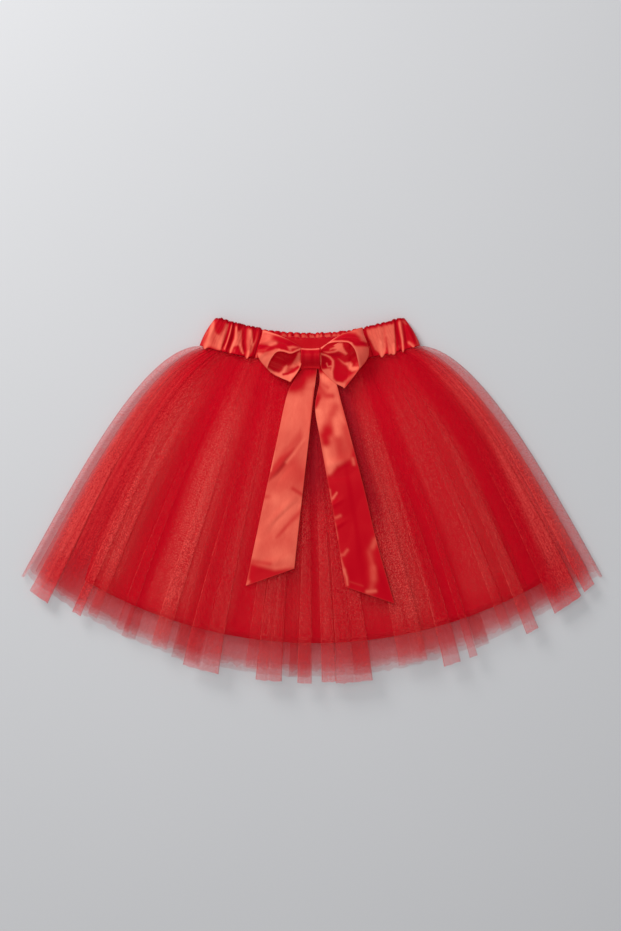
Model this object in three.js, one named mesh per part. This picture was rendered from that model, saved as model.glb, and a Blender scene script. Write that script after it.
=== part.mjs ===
// A child's tulle tutu skirt with a satin waistband, a lining and a ribbon bow, laid flat on its back.
// Sizes are millimetres. The skirt lies on the surface z = 0 with its waist towards +Y and its front up.
// Each layer is a tube of cloth pressed flat: rings run round it from the waist seam down to the hem.

import * as THREE from "three";

// Driving dimensions

const seamGap = 0.45; // between two pieces that are sewn or lie together
const netWall = 1.0; // a gathered net layer with its body
const liningWall = 1.0;
const bandWall = 3.0; // satin casing over elastic
const ribbonWall = 1.2;

const waistX = -2; // the waist sits a little to the left of the hem's middle
const bandHeight = 10; // of the flattened band, front to back
const panelRise = 0.6; // the flat front panel stands this much over the gathered casing's valleys

// Edges that bend like a smile: x and y of the lowest point, half the width across, and radius of the bend.
const bandTopBack = { x: waistX, y: 158.7, half: 90, radius: 281 };
const bandTopFront = { x: waistX, y: 153.7, half: 90, radius: 214.4 };
const bandBottom = { x: waistX, y: 131, half: 105, radius: 352 };
const netHem = { x: 0, y: -172.9, half: 277, radius: 435.6 };
const innerHem = { x: 0, y: -161, half: 264, radius: 424 };
const liningHem = { x: 3, y: -136, half: 214, radius: 432 };

// Flat front panel of the band, in x. The gathered casing runs from its right end round the back to its left end.
const panelLeft = -50.5;
const panelRight = 53;

// How each layer leaves the waist and meets its hem: angles off straight down at the sides, and the pull of each end.
const netFlow = { leave: 88, arrive: 29, pullMiddle: 90, pullSide: 53, pullHem: 118 };
const innerFlow = { leave: 76, arrive: 29, pullMiddle: 90, pullSide: 50, pullHem: 112 };
const liningFlow = { leave: 40, arrive: 14, pullMiddle: 80, pullSide: 45, pullHem: 90 };

// Heights of the pressed layers along their length, from waist (at 0) to hem (at 1): the underside, the height at the
// side folds, and how much higher the middle of the front stands.
const netHeights = [
  { at: 0.0, under: 0, side: 10, swell: 0.8 },
  { at: 0.12, under: 0, side: 9.6, swell: 3.0 },
  { at: 0.3, under: 0, side: 9.0, swell: 8.0 },
  { at: 0.6, under: 0, side: 8.0, swell: 9.5 },
  { at: 1.0, under: 0, side: 7.0, swell: 7.0 },
];
const innerHeights = [
  { at: 0.0, under: 2.1, side: 8.3, swell: 0.4 },
  { at: 0.12, under: 2.1, side: 7.6, swell: 2.0 },
  { at: 0.3, under: 1.9, side: 7.0, swell: 6.0 },
  { at: 0.6, under: 1.8, side: 6.2, swell: 7.0 },
  { at: 1.0, under: 1.5, side: 5.4, swell: 5.0 },
];
const liningHeights = [
  { at: 0.0, under: 3.5, side: 6.9, swell: 0.2 },
  { at: 0.12, under: 3.5, side: 6.2, swell: 0.8 },
  { at: 0.3, under: 3.4, side: 6.0, swell: 1.6 },
  { at: 0.6, under: 3.3, side: 6.0, swell: 2.0 },
  { at: 1.0, under: 3.0, side: 5.6, swell: 1.6 },
];

// Folds of net that lie on the front, as strips from waist to hem: the x of a strip's middle and its width at the hem,
// how high the strip stands, and how far it hangs below the hem between strips.
const outerFolds = [
  { middle: -257, width: 16, height: 1.6, drop: 13 },
  { middle: -226, width: 8, height: 1.8, drop: 13 },
  { middle: -211, width: 8, height: 1.8, drop: 11 },
  { middle: -183, width: 10, height: 2.2, drop: 10 },
  { middle: -147, width: 13, height: 2.6, drop: 2 },
  { middle: -105, width: 32, height: 3.2, drop: 10 },
  { middle: -58, width: 10, height: 2.2, drop: 3 },
  { middle: -41, width: 23, height: 3.0, drop: 9.5 },
  { middle: -7, width: 12, height: 2.6, drop: 10 },
  { middle: 16, width: 12, height: 3.0, drop: 9 },
  { middle: 40, width: 33, height: 2.6, drop: 10.5 },
  { middle: 97, width: 26, height: 2.8, drop: 2.5 },
  { middle: 132, width: 14, height: 3.0, drop: 12 },
  { middle: 152, width: 6, height: 2.2, drop: 12 },
  { middle: 187, width: 8, height: 2.2, drop: 2 },
  { middle: 207, width: 10, height: 2.6, drop: 13 },
  { middle: 242, width: 24, height: 2.4, drop: 10 },
  { middle: 263, width: 9, height: 1.6, drop: 9 },
];
const innerFolds = [
  { middle: -214, width: 22, height: 1.4, drop: 2 },
  { middle: -163, width: 20, height: 1.6, drop: 3 },
  { middle: -120, width: 16, height: 1.8, drop: 1 },
  { middle: -74, width: 18, height: 1.8, drop: 3 },
  { middle: -22, width: 14, height: 1.8, drop: 2 },
  { middle: 62, width: 16, height: 1.8, drop: 1 },
  { middle: 112, width: 18, height: 1.8, drop: 3 },
  { middle: 166, width: 22, height: 1.6, drop: 2 },
  { middle: 218, width: 20, height: 1.4, drop: 2 },
];
const foldFlank = 2.2; // run of a strip's sloping edge, at the hem
const frontLift = 9.5; // the hem between the strips hangs this much higher than the hem arc
const backLift = 4; // and so does the hem of the back

// Gathers of the layers at the waist: heights on the front and on the back, and the share of the length they run.
const netGathers = { front: 1.1, back: 0.7, run: 0.34 };
const innerGathers = { front: 0.5, back: 0, run: 0.3 };
const noGathers = { front: 0, back: 0, run: 0.3 };

// Gathers of the casing: how many on each side of the front panel and across the back, and how far they stand up.
const sideGathers = 8;
const backGathers = 30;
const gatherHeight = 1.3;
const ruffle = 1.1; // how far the gathers push the band's top edge up and down

// Ribbon tails: each row gives y and the x of the tail's two edges. The last row is the slanted cut.
const leftTail = [
  { yLeft: 126, left: -8.5, yRight: 126, right: -1.8 },
  { yLeft: 113, left: -18, yRight: 114, right: 2.4 },
  { yLeft: 98, left: -24.2, yRight: 96, right: 1.2 },
  { yLeft: 54, left: -33.5, yRight: 54, right: -3.4 },
  { yLeft: 8, left: -43.6, yRight: 8, right: -8.6 },
  { yLeft: -36, left: -53, yRight: -32, right: -13.2 },
  { yLeft: -81, left: -62.6, yRight: -64.6, right: -16.6 },
];
const rightTail = [
  { yLeft: 126, left: -1, yRight: 126, right: 5.7 },
  { yLeft: 112, left: 4.4, yRight: 114, right: 21.4 },
  { yLeft: 95, left: 3.5, yRight: 95, right: 27 },
  { yLeft: 58, left: 8, yRight: 60, right: 36.4 },
  { yLeft: 10, left: 16.2, yRight: 12, right: 49 },
  { yLeft: -38, left: 24.4, yRight: -42, right: 62 },
  { yLeft: -82, left: 31.5, yRight: -98, right: 78.2 },
];

// Bow loops: each row is a line across the ribbon, from its upper to its lower edge, between the pinch at the knot
// and the far end of the loop. Puff is half the loop's depth there.
const leftLoop = [
  { pinchX: -11.2, pinchY: 140.5, farX: -46.2, farY: 160.6, puff: 4.6 },
  { pinchX: -11.2, pinchY: 139.0, farX: -51.2, farY: 151.0, puff: 6.0 },
  { pinchX: -11.2, pinchY: 137.4, farX: -51.8, farY: 139.6, puff: 6.6 },
  { pinchX: -11.2, pinchY: 135.8, farX: -45.6, farY: 128.2, puff: 6.8 },
  { pinchX: -11.2, pinchY: 134.2, farX: -34.8, farY: 119.2, puff: 6.2 },
  { pinchX: -11.2, pinchY: 132.6, farX: -21.6, farY: 113.6, puff: 4.6 },
];
const rightLoop = [
  { pinchX: 8.2, pinchY: 140.5, farX: 48.0, farY: 161.6, puff: 4.6 },
  { pinchX: 8.2, pinchY: 139.0, farX: 53.8, farY: 149.4, puff: 6.0 },
  { pinchX: 8.2, pinchY: 137.4, farX: 52.6, farY: 137.6, puff: 6.6 },
  { pinchX: 8.2, pinchY: 135.8, farX: 47.0, farY: 126.0, puff: 6.8 },
  { pinchX: 8.2, pinchY: 134.2, farX: 38.6, farY: 115.4, puff: 6.2 },
  { pinchX: 8.2, pinchY: 132.6, farX: 29.4, farY: 107.6, puff: 4.6 },
];
const loopFloor = 15; // underside of the loops, clear of the band and the net
const pleatDepth = 1.1; // how far the loops' pleats sink
const loopEdge = 1.9; // half the thickness of a loop where it turns
const tailRise = 0.9; // soft rises along the tails
const knot = { x: -1.5, y: 135.2, halfLength: 9.3, halfHeight: 8.6, low: 12.1, depth: 12.8 };

// Numbers of columns and rows

const netRows = 9;
const innerRows = 8;
const liningRows = 7;
const sideColumns = 3; // on each quarter turn of a side fold
const tailRows = 17;
const tailColumns = 7;
const loopPleats = 5; // pleats that fan out from the knot in each loop

// Small helpers

const degrees = Math.PI / 180;
const mix = (a, b, share) => a + (b - a) * share;
const clamp01 = (value) => Math.min(1, Math.max(0, value));
const smooth = (value) => clamp01(value) ** 2 * (3 - 2 * clamp01(value));
const spread = (count, from, to) =>
  Array.from({ length: count }, (_, i) => mix(from, to, i / (count - 1)));

// Reads a named column of a table whose rows are placed by their column "at".
function readTable(table, column, at) {
  const next = table.findIndex((row) => row.at >= at);
  if (next <= 0) return table[next === 0 ? 0 : table.length - 1][column];
  const [low, high] = [table[next - 1], table[next]];
  return mix(low[column], high[column], smooth((at - low.at) / (high.at - low.at)));
}

// A point of a smile-shaped edge: s runs from -1 at its left end to 1 at its right end.
function onEdge({ x, y, half, radius }, s) {
  const angle = s * Math.asin(half / radius);
  return new THREE.Vector2(x + radius * Math.sin(angle), y + radius * (1 - Math.cos(angle)));
}

// Share along an edge of the point at x.
function shareAt(edge, x) {
  return Math.asin((x - edge.x) / edge.radius) / Math.asin(edge.half / edge.radius);
}

// Plane position of a layer: a fan of curves from the waist seam to the hem.
function onFan(layer, s, t) {
  const { leave, arrive, pullMiddle, pullSide, pullHem } = layer.flow;
  const start = onEdge(layer.waist, s);
  const end = onEdge(layer.hem, s);
  const out = leave * degrees * Math.sign(s) * Math.abs(s) ** 2.2;
  const down = arrive * degrees * s;
  const pull = mix(pullMiddle, pullSide, s * s);
  const near = start.clone().add(new THREE.Vector2(Math.sin(out), -Math.cos(out)).multiplyScalar(pull));
  const far = end.clone().add(new THREE.Vector2(-Math.sin(down), Math.cos(down)).multiplyScalar(pullHem));
  const u = 1 - t;
  return start
    .multiplyScalar(u * u * u)
    .add(near.multiplyScalar(3 * u * u * t))
    .add(far.multiplyScalar(3 * u * t * t))
    .add(end.multiplyScalar(t * t * t));
}

// Half the width of a layer across one of its rings.
function halfWidth(layer, t) {
  return onFan(layer, 1, t).distanceTo(onFan(layer, -1, t)) / 2;
}

// Height of a layer's front without its folds.
function frontHeight(layer, s, t) {
  const side = readTable(layer.heights, "side", t);
  const swell = readTable(layer.heights, "swell", t);
  return side + swell * (1 - Math.abs(s) ** 2.6);
}

// Shares along the hem between which a fold is flat on top.
function foldEnds(layer, { middle, width }) {
  return [middle - width / 2, middle + width / 2].map((x) => shareAt(layer.hem, x));
}

// How much of a fold stands at s: 1 on its flat top, falling to 0 over its flanks.
function foldShare(layer, fold, s) {
  const [from, to] = foldEnds(layer, fold);
  return clamp01(1 - Math.max(from - s, s - to) / (foldFlank / layer.hem.half));
}

function foldHeight(layer, s, t) {
  const heights = layer.folds.map((fold) => fold.height * foldShare(layer, fold, s));
  return Math.max(0, ...heights) * smooth(t / 0.5);
}

function foldDrop(layer, s) {
  return Math.max(0, ...layer.folds.map((fold) => fold.drop * foldShare(layer, fold, s)));
}

// Rise of the gathers at the waist: every second column stands up, some more than others.
function gatherRise(layer, face, index, t) {
  const size = 0.75 + 0.25 * Math.sin(index * 2.4);
  return (index % 2) * size * layer.gathers[face] * (1 - smooth(t / layer.gathers.run));
}

// Columns of a front: the corners of every strip, with more between them where they are far apart.
function frontColumns(layer, apart) {
  const half = layer.hem.half;
  const slope = foldFlank / half;
  const corners = layer.folds.flatMap((fold) => {
    const [from, to] = foldEnds(layer, fold);
    return [from - slope, from, to, to + slope];
  });
  const marks = [-1, ...corners.filter((s) => Math.abs(s) < 0.99).sort((a, b) => a - b), 1];
  return marks.slice(1).reduce(
    (columns, mark, i) => {
      const steps = Math.max(1, Math.round(((mark - marks[i]) * half) / apart));
      return [...columns, ...spread(steps + 1, marks[i], mark).slice(1)];
    },
    [-1],
  );
}

// Solids

// Makes a closed geometry from points and faces of three, turned so that its faces point out.
function closedGeometry(points, faces) {
  let volume = 0;
  for (const [a, b, c] of faces) {
    volume += points[a].dot(new THREE.Vector3().crossVectors(points[b], points[c]));
  }
  const turned = volume < 0 ? faces.map(([a, b, c]) => [a, c, b]) : faces;
  const geometry = new THREE.BufferGeometry().setFromPoints(points);
  geometry.setIndex(turned.flat());
  geometry.computeVertexNormals();
  return geometry;
}

// Outward normals of a grid of points whose rows are closed rings or open strips.
function gridNormals(grid, closed) {
  const last = grid[0].length - 1;
  const side = (row, j) => (closed ? row[(j + last + 1) % (last + 1)] : row[Math.min(last, Math.max(0, j))]);
  return grid.map((row, i) =>
    row.map((_, j) => {
      const along = side(row, j + 1).clone().sub(side(row, j - 1));
      const down = grid[Math.min(grid.length - 1, i + 1)][j].clone().sub(grid[Math.max(0, i - 1)][j]);
      return down.cross(along).normalize();
    }),
  );
}

// A wall of cloth between two grids of points, closed at its edges.
function wallBetween(outer, inner, closed) {
  const columns = outer[0].length;
  const points = [...outer.flat(), ...inner.flat()];
  const skin = outer.length * columns;
  const at = (layer, i, j) => layer * skin + i * columns + (j % columns);
  const faces = [];
  const quad = (a, b, c, d) => faces.push([a, b, c], [a, c, d]);
  const steps = closed ? columns : columns - 1;
  for (let j = 0; j < steps; j += 1) {
    for (let i = 0; i < outer.length - 1; i += 1) {
      quad(at(0, i, j), at(0, i + 1, j), at(0, i + 1, j + 1), at(0, i, j + 1));
      quad(at(1, i, j), at(1, i, j + 1), at(1, i + 1, j + 1), at(1, i + 1, j));
    }
    const end = outer.length - 1;
    quad(at(0, 0, j), at(0, 0, j + 1), at(1, 0, j + 1), at(1, 0, j));
    quad(at(0, end, j), at(1, end, j), at(1, end, j + 1), at(0, end, j + 1));
  }
  if (!closed) {
    const end = columns - 1;
    for (let i = 0; i < outer.length - 1; i += 1) {
      quad(at(0, i, 0), at(1, i, 0), at(1, i + 1, 0), at(0, i + 1, 0));
      quad(at(0, i, end), at(0, i + 1, end), at(1, i + 1, end), at(1, i, end));
    }
  }
  return closedGeometry(points, faces);
}

// A wall of even thickness inside a grid of outer points.
function clothWall(outer, thickness, closed) {
  const normals = gridNormals(outer, closed);
  const middle = new THREE.Box3().setFromPoints(outer.flat()).getCenter(new THREE.Vector3());
  const facing = outer.flat().reduce((sum, p, k) => sum + p.clone().sub(middle).dot(normals.flat()[k]), 0);
  const step = facing < 0 ? thickness : -thickness;
  const inner = outer.map((row, i) => row.map((p, j) => p.clone().addScaledVector(normals[i][j], step)));
  return wallBetween(outer, inner, closed);
}

// Places of a layer's rings along its length, closer together near the waist.
const ringPlaces = (layer) => spread(layer.rows, 0, 1).map((row) => row ** 1.15);

// The pressed tube of one layer. Each ring runs left to right over the front and back again underneath.
function layerTube(layer) {
  const grid = ringPlaces(layer).map((t) => {
    const half = halfWidth(layer, t);
    const under = readTable(layer.heights, "under", t);
    const radius = (readTable(layer.heights, "side", t) - under) / 2;
    const edge = 1 - radius / half;
    const length = layer.length;
    const place = (s, reach, z) => {
      const p = onFan(layer, s, t * (1 - (t * reach) / length));
      return new THREE.Vector3(p.x, p.y, z);
    };
    const front = layer.columns.map((column, i) => {
      const relief = foldHeight(layer, column, t) + gatherRise(layer, "front", i, t);
      const z = frontHeight(layer, column, t) + relief;
      return place(column * edge, layer.frontLift - foldDrop(layer, column), z);
    });
    const turn = (sign, from, to) =>
      spread(2 * sideColumns + 1, from, to)
        .slice(1, -1)
        .map((angle) => {
          const s = sign * (edge + (1 - edge) * Math.cos(angle));
          const reach = mix(layer.frontLift, layer.backLift, 0.5 - Math.sin(angle) / 2);
          return place(s, reach, under + radius * (1 + Math.sin(angle)));
        });
    const back = spread(layer.backColumns, edge, -edge).map((s, i) =>
      place(s, layer.backLift, under + gatherRise(layer, "back", i, t)),
    );
    return [...front, ...turn(1, Math.PI / 2, -Math.PI / 2), ...back, ...turn(-1, -Math.PI / 2, Math.PI / 2)];
  });
  return clothWall(grid, layer.wall, true);
}

// The three layers that hang from the band

// Waist seam of a layer: the band's lower edge, a gap below it and a little shorter at each end.
const seamOf = (inset) => ({ ...bandBottom, y: bandBottom.y - seamGap, half: bandBottom.half - inset });

function makeLayer(facts) {
  const layer = { frontLift: 0, backLift: 0, folds: [], ...facts };
  layer.length = layer.waist.y - layer.hem.y;
  layer.columns = frontColumns(layer, layer.apart);
  return layer;
}

const outerNet = makeLayer({
  waist: seamOf(0),
  hem: netHem,
  flow: netFlow,
  heights: netHeights,
  folds: outerFolds,
  gathers: netGathers,
  frontLift,
  backLift,
  apart: 7,
  backColumns: 51,
  rows: netRows,
  wall: netWall,
});
const innerNet = makeLayer({
  waist: seamOf(3),
  hem: innerHem,
  flow: innerFlow,
  heights: innerHeights,
  folds: innerFolds,
  gathers: innerGathers,
  frontLift: 4,
  apart: 14,
  backColumns: 25,
  rows: innerRows,
  wall: netWall,
});
const lining = makeLayer({
  waist: seamOf(6),
  hem: liningHem,
  flow: liningFlow,
  heights: liningHeights,
  gathers: noGathers,
  apart: 22,
  backColumns: 18,
  rows: liningRows,
  wall: liningWall,
});

// Waistband

// Plane position in the band: s from side to side, v from 0 at the top edge to 1 at the bottom edge.
function onBand(top, s, v) {
  const high = onEdge(top, s);
  const low = onEdge(bandBottom, s);
  const bulge = 1.6 * Math.sin(Math.PI * v) * s ** 3;
  return new THREE.Vector2(mix(high.x, low.x, v) + bulge, mix(high.y, low.y, v));
}

// The band's share of its half width at a given x, halfway down.
const bandShare = (x) => (x - waistX) / ((bandTopFront.half + bandBottom.half) / 2);

// Rise of a gather at a phase in turns: a soft ridge with a narrow valley.
const gather = (turns) => gatherHeight * Math.abs(Math.cos(Math.PI * turns)) ** 0.8;

const bandRows = [0, 0.12, 0.55, 0.9, 1];

// The front panel is plain and lies between its two seams.
function bandPanel() {
  const columns = spread(7, bandShare(panelLeft) + 0.002, bandShare(panelRight) - 0.002);
  const skin = (z) =>
    bandRows.map((v) =>
      columns.map((s) => {
        const p = onBand(bandTopFront, s, v);
        return new THREE.Vector3(p.x, p.y, z);
      }),
    );
  return wallBetween(skin(bandHeight + panelRise), skin(bandHeight + panelRise - bandWall), false);
}

// The gathered casing, from the panel's right end round the back to its left end.
function bandCasing() {
  const radius = bandHeight / 2;
  const edge = 1 - radius / bandBottom.half;
  const start = bandShare(panelRight) + 0.002;
  const finish = bandShare(panelLeft) - 0.002;
  const frontFolds = (from, to) =>
    spread(sideGathers * 4 + 1, from, to).map((s, i) => ({ s, front: 1, lift: gather(i / 4) }));
  const turn = (sign, from, to) =>
    spread(2 * sideColumns + 1, from, to)
      .slice(1, -1)
      .map((angle) => ({ sign, angle, front: (1 + Math.sin(angle)) / 2, lift: 0 }));
  const columns = [
    ...frontFolds(start, edge),
    ...turn(1, Math.PI / 2, -Math.PI / 2),
    ...spread(backGathers * 2 + 1, edge, -edge).map((s, i) => ({ s, front: 0, lift: gather(i / 2) })),
    ...turn(-1, -Math.PI / 2, Math.PI / 2),
    ...frontFolds(-edge, finish),
  ];
  const place = ({ s, sign, angle, front, lift }, v, depth) => {
    const top = {
      ...bandTopBack,
      y: mix(bandTopBack.y, bandTopFront.y, front),
      radius: mix(bandTopBack.radius, bandTopFront.radius, front),
    };
    if (angle !== undefined) {
      const reach = 1 - depth / radius;
      const p = onBand(top, sign * (edge + (1 - edge) * reach * Math.cos(angle)), v);
      return new THREE.Vector3(p.x, p.y, radius * (1 + reach * Math.sin(angle)));
    }
    const p = onBand(top, s, v);
    const relief = lift * (1 - 0.25 * v);
    const outside = front ? bandHeight + relief : 0;
    const inside = front ? bandHeight - depth : depth + 0.8 * relief;
    const up = v === 0 ? ruffle * (lift / gatherHeight - 0.5) : 0;
    return new THREE.Vector3(p.x, p.y + up, depth ? inside : outside);
  };
  const skin = (depth) => bandRows.map((v) => columns.map((column) => place(column, v, depth)));
  return wallBetween(skin(0), skin(bandWall), false);
}

// Bow

// Finds the share across and along the outer net that lies at a plane position.
function findOnNet(x, y) {
  let [s, t] = [x / 200, 0.4];
  for (let round = 0; round < 24; round += 1) {
    const p = onFan(outerNet, s, t);
    const step = 1e-3;
    const ds = onFan(outerNet, s + step, t).sub(p).divideScalar(step);
    const dt = onFan(outerNet, s, t + step).sub(p).divideScalar(step);
    const det = ds.x * dt.y - ds.y * dt.x;
    const [ex, ey] = [x - p.x, y - p.y];
    s += (ex * dt.y - ey * dt.x) / det;
    t = Math.max(0, t + (ds.x * ey - ds.y * ex) / det);
  }
  return [s, t];
}

// Top of the band and the net at a plane position. Between two rings the net runs straight.
function coverHeight(x, y) {
  const [s, t] = findOnNet(x, y);
  const rings = ringPlaces(outerNet);
  const next = Math.max(1, rings.findIndex((ring) => ring > t));
  const [low, high] = [rings[next - 1], rings[next]];
  const onRing = (ring) =>
    frontHeight(outerNet, s, ring) +
    foldHeight(outerNet, s, ring) +
    netGathers.front * (1 - smooth(ring / netGathers.run));
  const onNet = mix(onRing(low), onRing(high), (t - low) / (high - low));
  return t > 0 ? onNet : Math.max(onNet, bandHeight + panelRise);
}

// Height on which a ribbon lies: the highest cover close by, since a ribbon spans the hollows.
function restingHeight(x, y) {
  const around = spread(7, -6.6, 6.6).flatMap((dx) => spread(3, -7, 7).map((dy) => coverHeight(x + dx, y + dy)));
  return Math.max(...around);
}

// A ribbon tail on the front, between the edge points of its table, with soft rises along it.
function tail(rows) {
  const lines = spread(tailRows, 0, rows.length - 1).map((place) => {
    const [high, low] = [rows[Math.floor(place)], rows[Math.ceil(place)]];
    return Object.fromEntries(Object.keys(high).map((key) => [key, mix(high[key], low[key], place % 1)]));
  });
  const lower = lines.map((line, i) =>
    spread(tailColumns, 0, 1).map((share) => {
      const x = mix(line.left, line.right, share);
      const y = mix(line.yLeft, line.yRight, share);
      const rise = tailRise * Math.sin((i / tailRows) * 9 + share * 2) ** 2;
      return new THREE.Vector3(x, y, restingHeight(x, y) + seamGap + rise);
    }),
  );
  const upper = lower.map((row) => row.map((p) => p.clone().setZ(p.z + ribbonWall)));
  return wallBetween(upper, lower, false);
}

// A loop of ribbon, hollow between its front and back, narrow at the pinch and rounded at its far end.
function bowLoop(rows) {
  const lines = spread(2 * loopPleats + 1, 0, rows.length - 1).map((place, i) => {
    const [high, low] = [rows[Math.floor(place)], rows[Math.ceil(place)]];
    const line = Object.keys(high).map((key) => [key, mix(high[key], low[key], place % 1)]);
    return { ...Object.fromEntries(line), sink: (i % 2) * pleatDepth };
  });
  const shares = [0, 0.12, 0.3, 0.5, 0.7, 0.86, 0.96, 1];
  const grid = lines.map(({ pinchX, pinchY, farX, farY, puff, sink }) => {
    const place = (share, up) => {
      const round = Math.sin(Math.PI * share ** 1.2) ** 0.7;
      const x = mix(pinchX, farX, share);
      const y = mix(pinchY, farY, share);
      const depth = mix(loopEdge, puff - (up > 0 ? sink : 0), round);
      return new THREE.Vector3(x, y, loopFloor + puff + up * depth);
    };
    return [...shares.map((share) => place(share, 1)), ...shares.map((share) => place(share, -1)).reverse()];
  });
  return clothWall(grid, ribbonWall, true);
}

// The knot: a band of ribbon wrapped round the pinch.
function bowKnot() {
  const turns = 14;
  const ring = spread(turns + 1, 0, 2 * Math.PI).slice(0, -1);
  const grid = spread(5, -1, 1).map((share) => {
    const swell = 1 + 0.05 * (1 - share * share);
    return ring.map((angle) => {
      const y = knot.y + knot.halfHeight * swell * Math.sign(Math.cos(angle)) * Math.abs(Math.cos(angle)) ** 0.6;
      const up = Math.sign(Math.sin(angle)) * Math.abs(Math.sin(angle)) ** 0.6;
      const z = knot.low + (knot.depth / 2) * (1 + swell * up) - (knot.depth / 2) * (up < 0 ? up * (swell - 1) : 0);
      return new THREE.Vector3(knot.x + knot.halfLength * share, y, z);
    });
  });
  return clothWall(grid, ribbonWall, true);
}

// The skirt

const clothLook = (color, roughness) =>
  new THREE.MeshStandardMaterial({ color, roughness, metalness: 0, side: THREE.FrontSide });
const satin = clothLook(0xd8202c, 0.35);
const net = clothLook(0xd03038, 0.8);
const liningCloth = clothLook(0xb8081c, 0.6);

function piece(name, geometry, material) {
  const mesh = new THREE.Mesh(geometry, material);
  mesh.name = name;
  return mesh;
}

const skirt = new THREE.Group();
skirt.add(
  piece("tulle_outer", layerTube(outerNet), net),
  piece("tulle_inner", layerTube(innerNet), net),
  piece("lining", layerTube(lining), liningCloth),
  piece("waistband_front", bandPanel(), satin),
  piece("waistband_back", bandCasing(), satin),
  piece("bow_tail_left", tail(leftTail), satin),
  piece("bow_tail_right", tail(rightTail), satin),
  piece("bow_loop_left", bowLoop(leftLoop), satin),
  piece("bow_loop_right", bowLoop(rightLoop), satin),
  piece("bow_knot", bowKnot(), satin),
);

// The origin lies under the middle of the whole skirt, on the surface it rests on.
const box = new THREE.Box3().setFromObject(skirt);
const middle = box.getCenter(new THREE.Vector3());
skirt.children.forEach((mesh) => mesh.geometry.translate(-middle.x, -middle.y, -box.min.z));

export default skirt;
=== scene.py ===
"""A child's red tulle tutu skirt with a satin waistband and a ribbon bow, laid flat, front up."""

import math

import bpy
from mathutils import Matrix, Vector, noise
from mathutils.bvhtree import BVHTree


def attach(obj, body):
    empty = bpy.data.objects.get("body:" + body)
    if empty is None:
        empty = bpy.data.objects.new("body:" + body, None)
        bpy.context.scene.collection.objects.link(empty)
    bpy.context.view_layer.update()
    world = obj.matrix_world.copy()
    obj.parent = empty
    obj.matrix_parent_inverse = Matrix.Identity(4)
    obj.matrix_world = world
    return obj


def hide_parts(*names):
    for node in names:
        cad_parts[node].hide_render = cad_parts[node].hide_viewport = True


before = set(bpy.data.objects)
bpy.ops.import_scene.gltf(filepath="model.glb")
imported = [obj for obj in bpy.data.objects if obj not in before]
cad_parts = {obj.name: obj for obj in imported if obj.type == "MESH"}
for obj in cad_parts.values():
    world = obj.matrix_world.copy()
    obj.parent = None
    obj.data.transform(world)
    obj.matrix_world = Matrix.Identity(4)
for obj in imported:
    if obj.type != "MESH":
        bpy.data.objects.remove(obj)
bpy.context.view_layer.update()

# Sizes are millimetres, placed as in the solids. The skirt's waist points to +Y and its front up.
MM = 0.001
SHIFT = Vector((0.002, 0.177, 0.0))  # the solids' origin lies under the middle of their box


def mix(a, b, share):
    return a + (b - a) * share


def clamp(value, low=0.0, high=1.0):
    return max(low, min(high, value))


def smooth(value):
    share = clamp(value)
    return share * share * (3 - 2 * share)


def spread(count, start, end):
    return [mix(start, end, i / (count - 1)) for i in range(count)]


def wave(x, y=0.0, seed=0.0):
    """Smooth noise from about -1 to 1 that changes over a unit of x or y."""
    return 2 * noise.noise(Vector((x, y, seed)))


def rows_of(names, *rows):
    """The rows of a table, each as a dictionary, from the names of its columns."""
    return [dict(zip(names.split(), row)) for row in rows]


def read_table(table, column, at):
    """Reads a column of a table whose rows are placed by their column "at"."""
    if at <= table[0]["at"]:
        return table[0][column]
    for low, high in zip(table, table[1:]):
        if at <= high["at"]:
            return mix(low[column], high[column], smooth((at - low["at"]) / (high["at"] - low["at"])))
    return table[-1][column]


class Edge:
    """An edge bent like a smile: x and y of its lowest point, half its width and the radius of its bend."""

    def __init__(self, x, y, half, radius):
        self.x, self.y, self.half, self.radius = x, y, half, radius
        self.turn = math.asin(half / radius)

    def place(self, s):
        angle = s * self.turn
        return self.x + self.radius * math.sin(angle), self.y + self.radius * (1 - math.cos(angle))

    def share(self, x):
        return math.asin(clamp((x - self.x) / self.radius, -1, 1)) / self.turn


waist_x = -2
band_bottom = Edge(waist_x, 131, 105, 352)
seam_gap = 0.45


def waist_seam(inset):
    return Edge(waist_x, 131 - seam_gap, 105 - inset, 352)


# Layers of the skirt

NET_HEIGHTS = rows_of(
    "at under side swell",
    (0.0, 0.3, 10, 0.8),
    (0.12, 0.3, 9.6, 3.0),
    (0.3, 0.3, 9.0, 8.0),
    (0.6, 0.3, 8.0, 9.5),
    (1.0, 0.3, 7.0, 7.0),
)
INNER_HEIGHTS = rows_of(
    "at under side swell",
    (0.0, 2.1, 8.3, 0.4),
    (0.12, 2.1, 7.6, 2.0),
    (0.3, 1.9, 7.0, 6.0),
    (0.6, 1.8, 6.2, 7.0),
    (1.0, 1.5, 5.4, 5.0),
)
LINING_HEIGHTS = rows_of(
    "at under side swell",
    (0.0, 3.5, 6.9, 0.2),
    (0.12, 3.5, 6.2, 0.8),
    (0.3, 3.4, 6.0, 1.6),
    (0.6, 3.3, 6.0, 2.0),
    (1.0, 3.0, 5.6, 1.6),
)

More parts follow.
